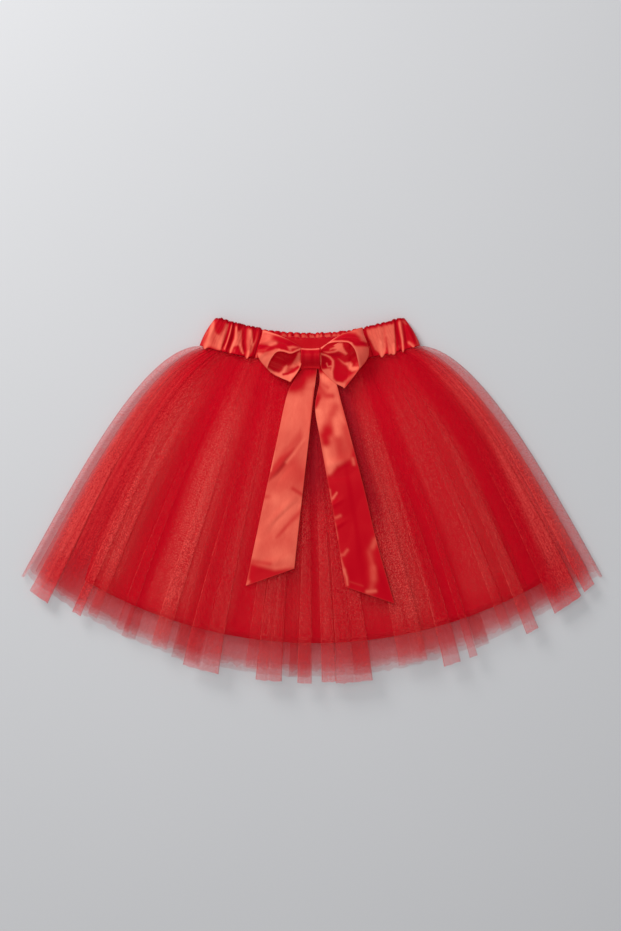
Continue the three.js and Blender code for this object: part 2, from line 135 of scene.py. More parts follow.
# Box pleats of net that lie on the front, from waist to hem: x of a pleat's middle and its width at the
# hem, how high it stands, how far it hangs below the hem beside it, and how much narrower it gets towards
# the waist.
OUTER_FOLDS = rows_of(
    "middle width height drop taper",
    (-257, 16, 1.6, 13, 0.2),
    (-224, 7, 1.8, 7, 0.3),
    (-211, 8, 1.8, 2, 0.1),
    (-183, 10, 2.2, 1, 0.5),
    (-147, 13, 2.6, 2, 0.1),
    (-105, 32, 3.2, 10, 0.4),
    (-58, 10, 2.2, 1, 0.2),
    (-41, 23, 3.0, 9.5, 0.5),
    (-7, 12, 2.6, 10, 0.3),
    (16, 12, 3.0, 9, 0.2),
    (40, 33, 2.6, 10.5, 0.5),
    (97, 26, 2.8, 2.5, 0.2),
    (132, 14, 3.0, 12, 0.3),
    (152, 6, 2.2, 12, 0.1),
    (187, 8, 2.2, 2, 0.2),
    (207, 10, 2.6, 13, 0.4),
    (242, 24, 2.4, 10, 0.3),
    (263, 9, 1.6, 9, 0.1),
)
INNER_FOLDS = rows_of(
    "middle width height drop taper",
    (-196, 26, 1.4, 0, 0.3),
    (-120, 16, 1.6, 0, 0.4),
    (-22, 14, 1.6, 0, 0.3),
    (112, 18, 1.6, 0, 0.2),
    (200, 24, 1.4, 0, 0.3),
)
BACK_FOLDS = rows_of(
    "middle width height drop taper",
    (-176, 12, 1.0, 1, 0.3),
    (-121, 26, 1.1, 2, 0.2),
    (-12, 20, 1.1, 1, 0.2),
    (48, 16, 1.0, 1, 0.3),
    (163, 12, 1.0, 2, 0.3),
)

# How light the bunched net looks from side to side, in shares of the hem's half width: there the net lies
# denser, and a painted highlight turns it salmon.
NET_BANDS = rows_of(
    "at glow",
    (-1.0, 0.30), (-0.972, 0.34), (-0.955, 0.50), (-0.925, 0.62), (-0.895, 0.55), (-0.865, 0.25),
    (-0.83, 0.30), (-0.80, 0.45), (-0.77, 0.66), (-0.725, 0.60), (-0.70, 0.30), (-0.665, 0.12),
    (-0.63, 0.0), (-0.60, 0.02), (-0.575, 0.60), (-0.52, 0.95), (-0.46, 0.62), (-0.425, 0.18),
    (-0.37, 0.05), (-0.34, 0.28), (-0.30, 0.45), (-0.26, 0.15), (-0.20, 0.28), (-0.14, 0.42), (-0.09, 0.22),
    (-0.04, 0.40), (0.01, 0.12), (0.05, 0.45), (0.12, 0.30), (0.19, 0.34), (0.26, 0.42), (0.32, 0.60),
    (0.38, 0.70), (0.425, 0.55), (0.445, 0.05), (0.53, 0.0), (0.555, 0.45), (0.61, 0.50), (0.67, 0.42),
    (0.69, 0.22), (0.71, 0.48), (0.738, 0.40), (0.755, 0.05), (0.84, 0.0), (0.875, 0.50), (0.92, 0.62),
    (0.955, 0.62), (0.975, 0.34), (1.0, 0.30),
)


class Layer:
    """A tube of cloth, pressed flat, that hangs from the waist seam to its hem."""

    def __init__(
        self, waist, hem, heights, flow, front_lift=0.0, back_lift=0.0, rise=0.0, gather=0.0, seed=0.0
    ):
        self.waist, self.hem, self.heights, self.flow = waist, hem, heights, flow
        self.front_lift, self.back_lift = front_lift, back_lift
        self.rise, self.gather, self.seed = rise, gather, seed
        self.length = waist.y - hem.y

    def place(self, s, t):
        """Plane position: a fan of curves from the waist seam to the hem."""
        x0, y0 = self.waist.place(s)
        x3, y3 = self.hem.place(s)
        out = math.radians(self.flow["leave"]) * math.copysign(abs(s) ** 2.2, s)
        down = math.radians(self.flow["arrive"]) * s
        pull = mix(self.flow["pull_middle"], self.flow["pull_side"], s * s)
        x1, y1 = x0 + math.sin(out) * pull, y0 - math.cos(out) * pull
        x2, y2 = x3 - math.sin(down) * self.flow["pull_hem"], y3 + math.cos(down) * self.flow["pull_hem"]
        u = 1 - t
        a, b, c, d = u * u * u, 3 * u * u * t, 3 * u * t * t, t * t * t
        return a * x0 + b * x1 + c * x2 + d * x3, a * y0 + b * y1 + c * y2 + d * y3

    def half_width(self, t):
        left, right = self.place(-1, t), self.place(1, t)
        return math.dist(left, right) / 2

    def front_height(self, s, t):
        side = read_table(self.heights, "side", t)
        swell = read_table(self.heights, "swell", t)
        return side + swell * (1 - abs(s) ** 2.6)

    def relief(self, s, t):
        """Gathers at the waist and long soft creases below them, all upward."""
        across = s * self.hem.half
        gathered = self.gather * (1 - smooth(t / 0.34)) * (0.5 + 0.5 * wave(across / 3.4, t * 1.4, self.seed))
        long = 0.5 + 0.5 * wave(across / 24, t * 1.1, self.seed + 5)
        fine = 0.5 + 0.5 * wave(across / 6.5, t * 1.7, self.seed + 9)
        return gathered + self.rise * smooth(t / 0.2) * (0.65 * long + 0.35 * fine)


NET_FLOW = dict(leave=88, arrive=29, pull_middle=90, pull_side=53, pull_hem=118)
INNER_FLOW = dict(leave=76, arrive=29, pull_middle=90, pull_side=50, pull_hem=112)
LINING_FLOW = dict(leave=40, arrive=14, pull_middle=80, pull_side=45, pull_hem=90)

outer_layer = Layer(
    waist_seam(0), Edge(0, -172.9, 277, 435.6), NET_HEIGHTS, NET_FLOW,
    front_lift=9.5, back_lift=4, rise=1.6, gather=1.6, seed=1,
)
inner_layer = Layer(
    waist_seam(3), Edge(0, -161, 264, 424), INNER_HEIGHTS, INNER_FLOW,
    front_lift=4, back_lift=0, rise=0.5, gather=0.6, seed=21,
)
lining_layer = Layer(
    waist_seam(6), Edge(3, -136, 219, 432), LINING_HEIGHTS, LINING_FLOW,
    rise=0.5, gather=0.2, seed=41,
)


def run(start, end, level, fold, half, apart):
    """Columns between two shares of the width, at one level of a pleat, closer together at both ends."""
    count = max(2, round(abs(end - start) * half / apart) + 1)
    tight = math.copysign(min(0.3 / half, abs(end - start) / 4), end - start)
    places = [start, start + tight] + spread(count, start, end)[1:-1] + [end - tight, end]
    return [dict(s=s, level=level, fold=fold, edge=0.0) for s in places]


def pleated(layer, folds, half, apart, limit):
    """Columns across a face from -limit to limit, turned back and forth into box pleats."""
    columns = []
    here = -limit
    for fold in folds:
        left = layer.hem.share(fold["middle"] - fold["width"] / 2)
        right = layer.hem.share(fold["middle"] + fold["width"] / 2)
        centre = (left + right) / 2
        gap = 0.02 * (right - left)
        turn = 0.25 * fold["height"] / half
        left_edge = dict(s=left - turn, level=1.5, fold=fold, edge=1.0)
        right_edge = dict(s=right + turn, level=1.5, fold=fold, edge=1.0)
        columns += run(here, centre - gap / 2, 0, None, half, apart)
        columns += run(centre - gap, left, 1, fold, half, apart * 1.6)
        columns.append(left_edge)
        columns += run(left, right, 2, fold, half, apart)
        columns.append(right_edge)
        columns += run(right, centre + gap, 1, fold, half, apart * 1.6)
        here = centre + gap / 2
    return columns + run(here, limit, 0, None, half, apart)


def pleat_place(layer, column, t):
    """Share across and rise of a column at t: a pleat sways and gets narrower towards the waist."""
    s, fold = column["s"], column["fold"]
    if fold is None:
        return s, 0.0
    centre = layer.hem.share(fold["middle"])
    narrow = 1 - fold["taper"] * (1 - t)
    sway = 0.012 * wave(t * 2.2, 0, fold["middle"]) * (1 - t)
    lift = 0.5 * fold["height"] * column["level"] / 2 * (0.15 + 0.85 * smooth(t / 0.5))
    return centre + (s - centre) * narrow + sway, lift


def side_density(s):
    """How much more net lies bunched just inside the side folds."""
    return smooth((abs(s) - 0.75) / 0.09) * smooth((0.955 - abs(s)) / 0.04)


# Painted shade on the net beside the ribbons, where it lies in their shadow: x of a strip's middle at y = 0,
# how much x grows for each millimetre of y, half its width, and the y where it ends.
NET_SHADOW_STRIPS = rows_of(
    "x lean wide end",
    (3.0, 0.0, 12.0, -25),
    (57.0, -0.26, 7.5, -45),
)


def shadow_strip_depth(x, y):
    """How much painted shade a place gets beside the ribbons, from 0 to 1."""
    depth = 0.0
    for shadow_strip in NET_SHADOW_STRIPS:
        across = (x - shadow_strip["x"] - shadow_strip["lean"] * y) / shadow_strip["wide"]
        depth = max(depth, math.exp(-across ** 2) * smooth((y - shadow_strip["end"]) / 50))
    return depth


SIDE_REACH = 1.0  # how far above the hem the net ends at its side folds
LOW_STRIP = 5  # a strip that hangs further below the hem than this stays crisp


def hang(column):
    """How far a column of cloth hangs below the hem beside it."""
    return column["fold"]["drop"] * min(1, column["level"]) if column["fold"] else 0


def below_lining(t):
    """From 0 to 1 across the stretch where the lining ends under the net."""
    return smooth((t - 0.86) / 0.06)


def hem_fade(t):
    """From 0 to 1 over the last of the net above its hem."""
    return smooth((t - 0.962) / 0.035)


def net_cover(column, t):
    """Cover of a column: the strips that hang low stay crisp, all else fades out at the hem."""
    fold = column["fold"]
    body = 1.0
    if fold:
        body = smooth((t - 0.12) / 0.6) * (0.35 if column["level"] == 1 else 1.0)
    if fold and fold["drop"] > LOW_STRIP:
        return body * mix(1, 1.35, below_lining(t))
    return body * mix(1, 0.62, hem_fade(t))


def front_light(layer, column, s, t):
    """Glow and edge mark of a column on the front: painted highlight on light bands and pleats' edges,
    painted shade beside the ribbons.
    """
    glow = read_table(NET_BANDS, "glow", s + 0.006 * wave(t * 3, s * 8, 2))
    glow *= mix(0.3, 1, smooth((t - 0.04) / 0.3)) * mix(1, 0.5, smooth((t - 0.85) / 0.06))
    depth = shadow_strip_depth(*layer.place(s, t))
    glow = (glow + 0.1 * min(1, column["level"])) * (1 - 0.9 * depth)
    return glow, mix(column["edge"] * mix(1, 0.4, below_lining(t)), -0.45, depth)


def net_tube(layer, front_folds, back_folds, apart, rows, side_steps=7):
    """Points, cloth places and marks of a net tube. Its rings run over the front and back underneath."""
    half = layer.hem.half
    edge_low = 0.985
    front = pleated(layer, front_folds, half, apart, edge_low)
    back = pleated(layer, back_folds, half, apart * 2.2, edge_low)[::-1]
    points, places, marks = [], [], []
    for t in [row ** 1.08 for row in spread(rows, 0, 1)]:
        under = read_table(layer.heights, "under", t)
        side = read_table(layer.heights, "side", t)
        radius = (side - under) / 2
        edge = 1 - radius / layer.half_width(t)
        ring, ring_marks = [], []

        def add(s, reach, z, glow, mark, body):
            x, y = layer.place(s, t * (1 - t * reach / layer.length))
            ring.append(Vector((x, y, z)))
            dense = side_density(s) * mix(1, 0.35, smooth((t - 0.8) / 0.2))
            ring_marks.append((glow, mark * body, dense, body, s * half * MM))

        def add_side(way, start):
            for angle in spread(side_steps + 2, start, -start)[1:-1]:
                s = way * (edge + (1 - edge) * math.cos(angle))
                z = under + radius * (1 + math.sin(angle))
                # A dark line of painted shade, where the net also lies denser, along the outermost edge of
                # each side fold.
                add(s, SIDE_REACH, z, 0.5, -0.8 * math.cos(angle) ** 30, mix(1, 0.6, hem_fade(t)))

        def fray(s, seed):
            place = s * half
            return 1.1 * wave(place / 5, 0, layer.seed + seed) + 0.6 * wave(place / 1.7, 0, layer.seed + seed)

        for column in front:
            s, lift = pleat_place(layer, column, t)
            s *= edge / edge_low
            reach = layer.front_lift - hang(column) + fray(s, 3) * (0.35 if column["fold"] else 1.4)
            z = layer.front_height(s, t) + lift + layer.relief(s, t)
            add(s, reach, z, *front_light(layer, column, s, t), net_cover(column, t))
        add_side(1, math.pi / 2)
        for column in back:
            s, lift = pleat_place(layer, column, t)
            s *= edge / edge_low
            reach = layer.back_lift - hang(column) + fray(s, 7)
            body = net_cover(column, t) * mix(1, 0.8, hem_fade(t))
            add(s, reach, under + lift, 0.3, 0.4 * column["edge"], body)
        add_side(-1, -math.pi / 2)
        points.append(ring)
        marks.append(ring_marks)
        places.append(t * layer.length)
    return points, cloth_across(points[-1]), places, marks


def cloth_across(ring):
    """Length of cloth round a ring from its first point to each point, and back to the first."""
    lengths = [0.0]
    for a, b in zip(ring, ring[1:] + ring[:1]):
        lengths.append(lengths[-1] + math.hypot(b.x - a.x, b.y - a.y))
    return lengths


# Meshes

NET_MARKS = ("glow", "edge", "dense", "body", "fan")
SATIN_MARKS = ("tone",)


def cloth_object(name, grid, across, along, marks=None, closed=False):
    """A sheet through a grid of points, with its cloth places as a UV map and its marks as attributes."""
    rows, columns = len(grid), len(grid[0])
    mesh = bpy.data.meshes.new(name)
    steps = columns if closed else columns - 1
    faces, uvs = [], []
    for i in range(rows - 1):
        for j in range(steps):
            k = (j + 1) % columns
            faces.append((i * columns + j, (i + 1) * columns + j, (i + 1) * columns + k, i * columns + k))
            for u, v in ((j, i), (j, i + 1), (j + 1, i + 1), (j + 1, i)):
                uvs += [across[u] * MM, along[v] * MM]
    verts = [(p + SHIFT) * MM for row in grid for p in row]
    mesh.from_pydata(verts, [], faces)
    mesh.uv_layers.new(name="cloth").data.foreach_set("uv", uvs)
    flat_marks = [mark for row in marks for mark in row] if marks else []
    names = () if not marks else NET_MARKS if len(flat_marks[0]) == len(NET_MARKS) else SATIN_MARKS
    for index, label in enumerate(names):
        attribute = mesh.attributes.new(label, "FLOAT", "POINT")
        attribute.data.foreach_set("value", [mark[index] for mark in flat_marks])
    mesh.polygons.foreach_set("use_smooth", [True] * len(faces))
    mesh.update()
    obj = bpy.data.objects.new(name, mesh)
    bpy.context.scene.collection.objects.link(obj)
    return obj


LINING_CLOTH = 0.3
BAND_CLOTH = 0.3
RIBBON_CLOTH = 0.5


def thicken(obj, thickness, offset=-1.0):
    """Gives a sheet its cloth's thickness in millimetres."""
    solid = obj.modifiers.new("cloth", "SOLIDIFY")
    solid.thickness = thickness * MM
    solid.offset = offset
    solid.use_even_offset = False
    return obj


# Materials


class Wire:
    """A socket that can stand in an expression."""

    def __init__(self, look, socket):
        self.look, self.socket = look, socket

    def _do(self, operation, first, second):
        return self.look.maths(operation, first, second)

    def __add__(self, other):
        return self._do("ADD", self, other)

    def __radd__(self, other):
        return self._do("ADD", other, self)

    def __sub__(self, other):
        return self._do("SUBTRACT", self, other)

    def __rsub__(self, other):
        return self._do("SUBTRACT", other, self)

    def __mul__(self, other):
        return self._do("MULTIPLY", self, other)

    def __rmul__(self, other):
        return self._do("MULTIPLY", other, self)

    def __truediv__(self, other):
        return self._do("DIVIDE", self, other)

    def __pow__(self, other):
        return self._do("POWER", self, other)


class Look:
    """A material made of nodes round one cloth shader."""

    def __init__(self, name, **constants):
        self.material = bpy.data.materials.new(name)
        self.material.use_nodes = True
        self.tree = self.material.node_tree
        self.shader = self.tree.nodes["Principled BSDF"]
        for socket, value in constants.items():
            self.shader.inputs[socket.replace("_", " ")].default_value = value

    def node(self, kind, settings=None, values=None, output=0):
        made = self.tree.nodes.new(kind)
        for key, value in (settings or {}).items():
            setattr(made, key, value)
        for key, value in (values or {}).items():
            socket = self.find(made.inputs, key)
            self.feed(socket, value)
        return Wire(self, self.find(made.outputs, output))

    def find(self, sockets, key):
        if isinstance(key, int):
            return sockets[key]
        return next(s for s in sockets if s.name == key and s.enabled)

    def feed(self, socket, value):
        if isinstance(value, Wire):
            self.tree.links.new(value.socket, socket)
        else:
            socket.default_value = value

    def maths(self, operation, first, second=0.0, clamped=False):
        settings = dict(operation=operation, use_clamp=clamped)
        return self.node("ShaderNodeMath", settings, {0: first, 1: second})

    def clamped(self, value):
        return self.maths("ADD", value, 0.0, True)

    def attribute(self, name):
        return self.node("ShaderNodeAttribute", dict(attribute_name=name), output="Fac")

    def cloth(self):
        """Across and along places on the cloth, in millimetres."""
        uv = self.node("ShaderNodeUVMap", dict(uv_map="cloth"))
        split = dict(kind="ShaderNodeSeparateXYZ", values={0: uv})
        return self.node(output=0, **split) / MM, self.node(output=1, **split) / MM

    def flat_place(self):
        """Places on the object across and along it, in millimetres."""
        place = self.node("ShaderNodeTexCoord", output="Object")
        split = dict(kind="ShaderNodeSeparateXYZ", values={0: place})
        return self.node(output=0, **split) / MM, self.node(output=1, **split) / MM

    def vector(self, x, y, z=0.0):
        return self.node("ShaderNodeCombineXYZ", values={0: x, 1: y, 2: z})

    def grain(self, x, y, seed=0.0, detail=2.0):
        """Noise from 0 to 1 over a unit of x or y."""
        place = self.vector(x, y, seed)
        return self.node("ShaderNodeTexNoise", values={"Vector": place, "Scale": 1.0, "Detail": detail})

    def blend(self, share, first, second):
        values = {"Factor": share, "A": first, "B": second}
        return self.node("ShaderNodeMix", dict(data_type="RGBA"), values, output="Result")

    def range(self, value, low, high):
        """0 up to low, 1 from high on, and a smooth step between them."""
        values = {"Value": value, "From Min": low, "From Max": high}
        return self.node("ShaderNodeMapRange", dict(interpolation_type="SMOOTHSTEP"), values)

    def set(self, **wires):
        for socket, value in wires.items():
            self.feed(self.shader.inputs[socket.replace("_", " ")], value)
        return self

    def bump(self, height, strength, distance):
        values = {"Height": height, "Strength": strength, "Distance": distance}
        self.set(Normal=self.node("ShaderNodeBump", values=values))


def colour(red, green, blue):
    return (red, green, blue, 1.0)


# The HIGHLIGHT colours are painted highlights and the SHADE colours painted shade, mixed into each cloth's
# own red.
NET_DEEP = colour(0.69, 0.001, 0.014)
NET_HIGHLIGHT = colour(0.94, 0.12, 0.10)
NET_SHADE = colour(0.20, 0.02, 0.03)
SATIN_DEEP = colour(0.44, 0.001, 0.010)
SATIN_SHADE = colour(0.06, 0.0, 0.003)
SATIN_HIGHLIGHT = colour(0.92, 0.205, 0.128)

MESH_CELL = 1.3  # width of a hole in the net
CELL_SHAPE = 0.62  # width of a hole over its length
CROSS_LINES = 2.6  # between the faint lines across bunched net
LINING_THREAD = 0.4  # width of a thread
LINING_TURN = 9  # from the lining's seam down to its hem
STITCH = 1.4  # length of a stitch of the lining's hem, and of the gap after it
SATIN_WARP = 0.35  # width of a thread along the ribbon
SATIN_WEFT = 0.22  # width of a thread across it


def net_look(name, seed, threads_cover, shimmer):
    """Soft net of fine diamond holes: denser with a painted highlight where it lies bunched and along its
    folds, with painted shade at its side rims and beside the ribbons.
    """
    look = Look(name, Roughness=0.8, Specular_IOR_Level=0.03)
    u, v = look.cloth()
    glow, mark = look.attribute("glow"), look.attribute("edge")
    edge, rim = look.clamped(mark), look.clamped(0 - mark)
    dense, body = look.attribute("dense"), look.attribute("body")
    half_turn = math.pi / MESH_CELL
    one = look.maths("SINE", (u + v * CELL_SHAPE) * half_turn) ** 2
    two = look.maths("SINE", (u - v * CELL_SHAPE) * half_turn) ** 2
    threads = 1 - look.maths("MINIMUM", one, two)
    fan = look.attribute("fan") / MM
    x, y = look.flat_place()
    streak = look.grain(fan * 0.30, v * 0.010, seed)
    hair = look.grain(fan * 1.1, v * 0.016, seed + 3)
    speck = (look.grain(x * 1.3, y * 1.3, seed + 7, 1.0) - 0.5) * (1 - dense * 0.5) * shimmer
    sway = look.grain(x * 0.03, y * 0.05, seed + 11)
    wefts = look.maths("SINE", v * (2 * math.pi / CROSS_LINES) + sway * 9)
    ripple = wefts * look.range(glow, 0.45, 0.8) * look.clamped(1 - dense * 6)
    rough = 0.3 + streak * 0.9 + (hair - 0.5) * 0.8 + speck * 2.0
    # Painted highlight: light bands and pleats' edges turn salmon. Painted shade: side rims and strips beside
    # the ribbons turn dark.
    bright = glow * rough * 0.95 - 0.07 + speck * 2.2 + ripple * shimmer * 0.12
    light = look.clamped(bright + edge * (0.6 + speck * 3.0))
    bunched = dense * (0.12 + streak * 0.4)
    cover = (threads * threads_cover + edge * 0.14 + rim * 0.55 + light * 0.26 + bunched) * body
    tint = look.blend(rim, look.blend(light, NET_DEEP, NET_HIGHLIGHT), NET_SHADE)
    look.set(Base_Color=tint, Alpha=look.clamped(cover))
    return look.material


def lining_look(name):
    """Plain red lining, finely woven, with a turned and stitched hem."""
    look = Look(name, Roughness=0.7, Specular_IOR_Level=0.04)
    u, v = look.cloth()
    turn = math.pi / LINING_THREAD
    weave = look.maths("SINE", u * turn) * look.maths("SINE", v * turn)
    mottle = look.grain(u * 0.03, v * 0.012, 2)
    below = v - (lining_layer.length - LINING_TURN)
    seam = look.maths("SUBTRACT", 1.0, look.maths("ABSOLUTE", below / 0.5), True)
    dashes = look.range(look.maths("SINE", u * (math.pi / STITCH)), -0.2, 0.3)
    shade = look.clamped(0.35 + mottle * 0.5 - seam * dashes * 0.5)
    look.set(Base_Color=look.blend(shade, colour(0.60, 0.001, 0.012), colour(0.73, 0.001, 0.016)))
    look.bump(weave * 0.3 - seam * dashes, 0.3, 0.0002)
    return look.material


def satin_look(name):
    """Ribbon satin: deep red, with salmon highlights and dark shade painted into its colour by its tone."""
    look = Look(name, Roughness=0.32, Specular_IOR_Level=0.15, Specular_Tint=colour(1.0, 0.25, 0.16), IOR=1.5)
    # A faint red glow, painted light that stands in for light coming through the thin ribbon, keeps its
    # hollows red.
    look.set(Emission_Color=colour(1.0, 0.0, 0.01), Emission_Strength=0.11)
    u, v = look.cloth()
    tone = look.attribute("tone")
    floats = look.grain(u * 2.2, v * 0.3, 4)
    cloud = look.grain(u * 0.16, v * 0.10, 6)
    lit = look.clamped(tone + ((floats - 0.5) * 0.22 + (cloud - 0.5) * 0.25) * look.clamped(tone))
    bright = look.blend(lit ** 2, SATIN_DEEP, SATIN_HIGHLIGHT)
    look.set(Base_Color=look.blend(look.clamped(0 - tone), bright, SATIN_SHADE))
    warp = look.maths("SINE", u * (math.pi / SATIN_WARP))
    weft = look.maths("SINE", v * (math.pi / SATIN_WEFT))
    look.bump(warp * 0.4 + weft * 0.2 + floats, 0.16, 0.0001)
    return look.material


def floor_look(name):
    """Pale matt table top."""
    look = Look(name, Roughness=0.85, Specular_IOR_Level=0.2)
    place = look.node("ShaderNodeTexCoord", output="Object")
    cloud = look.node("ShaderNodeTexNoise", values={"Vector": place, "Scale": 2.0, "Detail": 3.0})
    tooth = look.node("ShaderNodeTexNoise", values={"Vector": place, "Scale": 900.0, "Detail": 2.0})
    look.set(Base_Color=look.blend(cloud, colour(0.645, 0.65, 0.662), colour(0.68, 0.68, 0.69)))
    look.bump(tooth, 0.1, 0.0003)
    return look.material


def dress(obj, material, slot, *nodes):
    """Gives a piece its material and body, and hides the solids it stands for."""
    obj.data.materials.append(material)
    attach(obj, "root")
    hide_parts(*nodes)
    return obj


# Net and lining

points, across, along, marks = net_tube(outer_layer, OUTER_FOLDS, BACK_FOLDS, 2.2, 58)
outer_net = cloth_object("net_outer", points, across, along, marks, closed=True)
dress(outer_net, net_look("outer net", 1.3, 0.29, 1.0), "net", "tulle_outer")

points, across, along, marks = net_tube(inner_layer, INNER_FOLDS, [], 3.4, 40)
inner_net = cloth_object("net_inner", points, across, along, marks, closed=True)
dress(inner_net, net_look("inner net", 31.7, 0.22, 0.4), "net", "tulle_inner")


def lining_tube(layer, rows=44, front_steps=150, back_steps=90, side_steps=7):
    """Points and cloth places of the lining, which falls plain from the waist."""
    points, places = [], []
    for t in spread(rows, 0, 1):
        under = read_table(layer.heights, "under", t)
        radius = (read_table(layer.heights, "side", t) - under) / 2
        edge = 1 - radius / layer.half_width(t)
        ring = [(s, layer.front_height(s, t) + layer.relief(s, t)) for s in spread(front_steps, -edge, edge)]
        for angle in spread(side_steps + 2, math.pi / 2, -math.pi / 2)[1:-1]:
            ring.append((edge + (1 - edge) * math.cos(angle), under + radius * (1 + math.sin(angle))))
        ring += [(s, under) for s in spread(back_steps, edge, -edge)]
        for angle in spread(side_steps + 2, -math.pi / 2, math.pi / 2)[1:-1]:
            ring.append((-edge - (1 - edge) * math.cos(angle), under + radius * (1 + math.sin(angle))))
        points.append([Vector((*layer.place(s, t), z)) for s, z in ring])
        places.append(t * layer.length)
    return points, cloth_across(points[-1]), places


points, across, along = lining_tube(lining_layer)
lining = cloth_object("lining_skirt", points, across, along, closed=True)
thicken(lining, LINING_CLOTH)
dress(lining, lining_look("lining cloth"), "lining_cloth", "lining")

# Waistband

BAND_HEIGHT = 10
BAND_WALL = 3.0
PANEL_RISE = 0.6
PANEL_LEFT, PANEL_RIGHT = -50.5, 53
band_top_back = Edge(waist_x, 158.7, 90, 281)
band_top_front = Edge(waist_x, 153.7, 90, 214.4)

PATCH_SOFTNESS = 1.6  # all patches are this much softer than their own value says
BAND_STEP = 1.6  # length of cloth between two lines down the band


def reach_of(a, b, x, y):
    """Distance of a place from the line between two points, and where along that line it is nearest."""
    dx, dy = b[0] - a[0], b[1] - a[1]
    share = clamp(((x - a[0]) * dx + (y - a[1]) * dy) / (dx * dx + dy * dy))
    return math.hypot(x - a[0] - dx * share, y - a[1] - dy * share), share


class Mark:
    """A mark of painted light or shade on the satin: tone -1 is nearly black red, 0 deep red and 1 the
    lightest salmon.
    """

    def __init__(self, path, tone, margin):
        self.path, self.tone = path, tone
        self.left, self.right = min(p[0] for p in path) - margin, max(p[0] for p in path) + margin
        self.bottom, self.top = min(p[1] for p in path) - margin, max(p[1] for p in path) + margin

    def near(self, x, y):
        return self.left < x < self.right and self.bottom < y < self.top


class Stroke(Mark):
    """A line of light or shade: its half width at both ends, its tone and how crisp its sides are."""

    def __init__(self, path, wide, tone, end=None, crisp=2):
        self.wide, self.crisp = wide, crisp
        self.end = wide if end is None else end
        super().__init__(path, tone, 2.2 * max(self.wide, self.end))

    def cover(self, x, y):
        """How much of what lies under it the stroke hides at a place, from 0 to 1."""
        nearest = 9.0
        for i, (a, b) in enumerate(zip(self.path, self.path[1:])):
            reach, share = reach_of(a, b, x, y)
            nearest = min(nearest, reach / mix(self.wide, self.end, (i + share) / (len(self.path) - 1)))
        return math.exp(-nearest ** self.crisp)


class Patch(Mark):
    """A flat patch of painted light or shade: its outline, its tone and how soft its sides are."""

    def __init__(self, outline, tone, soft):
        self.soft = PATCH_SOFTNESS * soft
        super().__init__(outline, tone, self.soft)

    def cover(self, x, y):
        """How much of what lies under it the patch hides at a place, from 0 to 1."""
        inside, nearest = -1, 99.0
        for a, b in zip(self.path, self.path[1:] + self.path[:1]):
            nearest = min(nearest, reach_of(a, b, x, y)[0])
            if (a[1] > y) != (b[1] > y) and x < a[0] + (y - a[1]) * (b[0] - a[0]) / (b[1] - a[1]):
                inside = -inside
        return smooth(0.5 + 0.5 * inside * nearest / self.soft)


def tone_at(marks, x, y, base=0.0):
    """Painted light and shade of the satin at a place: each mark in turn lies over those before it."""
    tone = base
    for mark in marks:
        if mark.near(x, y):
            tone = mix(tone, mark.tone, mark.cover(x, y))
    return tone


# Folds of the casing beside the front panel: x halfway down, lean of the fold from top to bottom, half its
# width at top and bottom, and how far it stands up or sinks.
CASING_FOLDS = rows_of(
    "x lean top bottom rise",
    (-96, -8, 4, 7, 0.9),
    (-87, 3, 3, 5, 0.5),
    (-82.0, -7, 1.5, 1.1, -1.7),
    (-78.9, -7, 1.2, 1.0, 1.2),
    (-75.6, -6, 1.5, 1.1, -1.5),
    (-71.2, 0, 1.8, 3.6, 1.2),
    (-64.4, 2, 3.2, 1.0, -1.5),
    (-59.2, -1, 2.6, 1.4, 1.2),
    (-54, -2, 2.6, 1.2, -0.7),
    (62, 4, 11, 9, 0.5),
    (68, 0, 1.6, 1.6, -0.4),
    (80.0, 1, 1.0, 1.1, -1.8),
    (85.0, 4, 2.6, 1.8, 1.2),
    (89, 5, 1.6, 1.4, -0.9),
    (95, 6, 2.5, 1.8, 0.6),
)

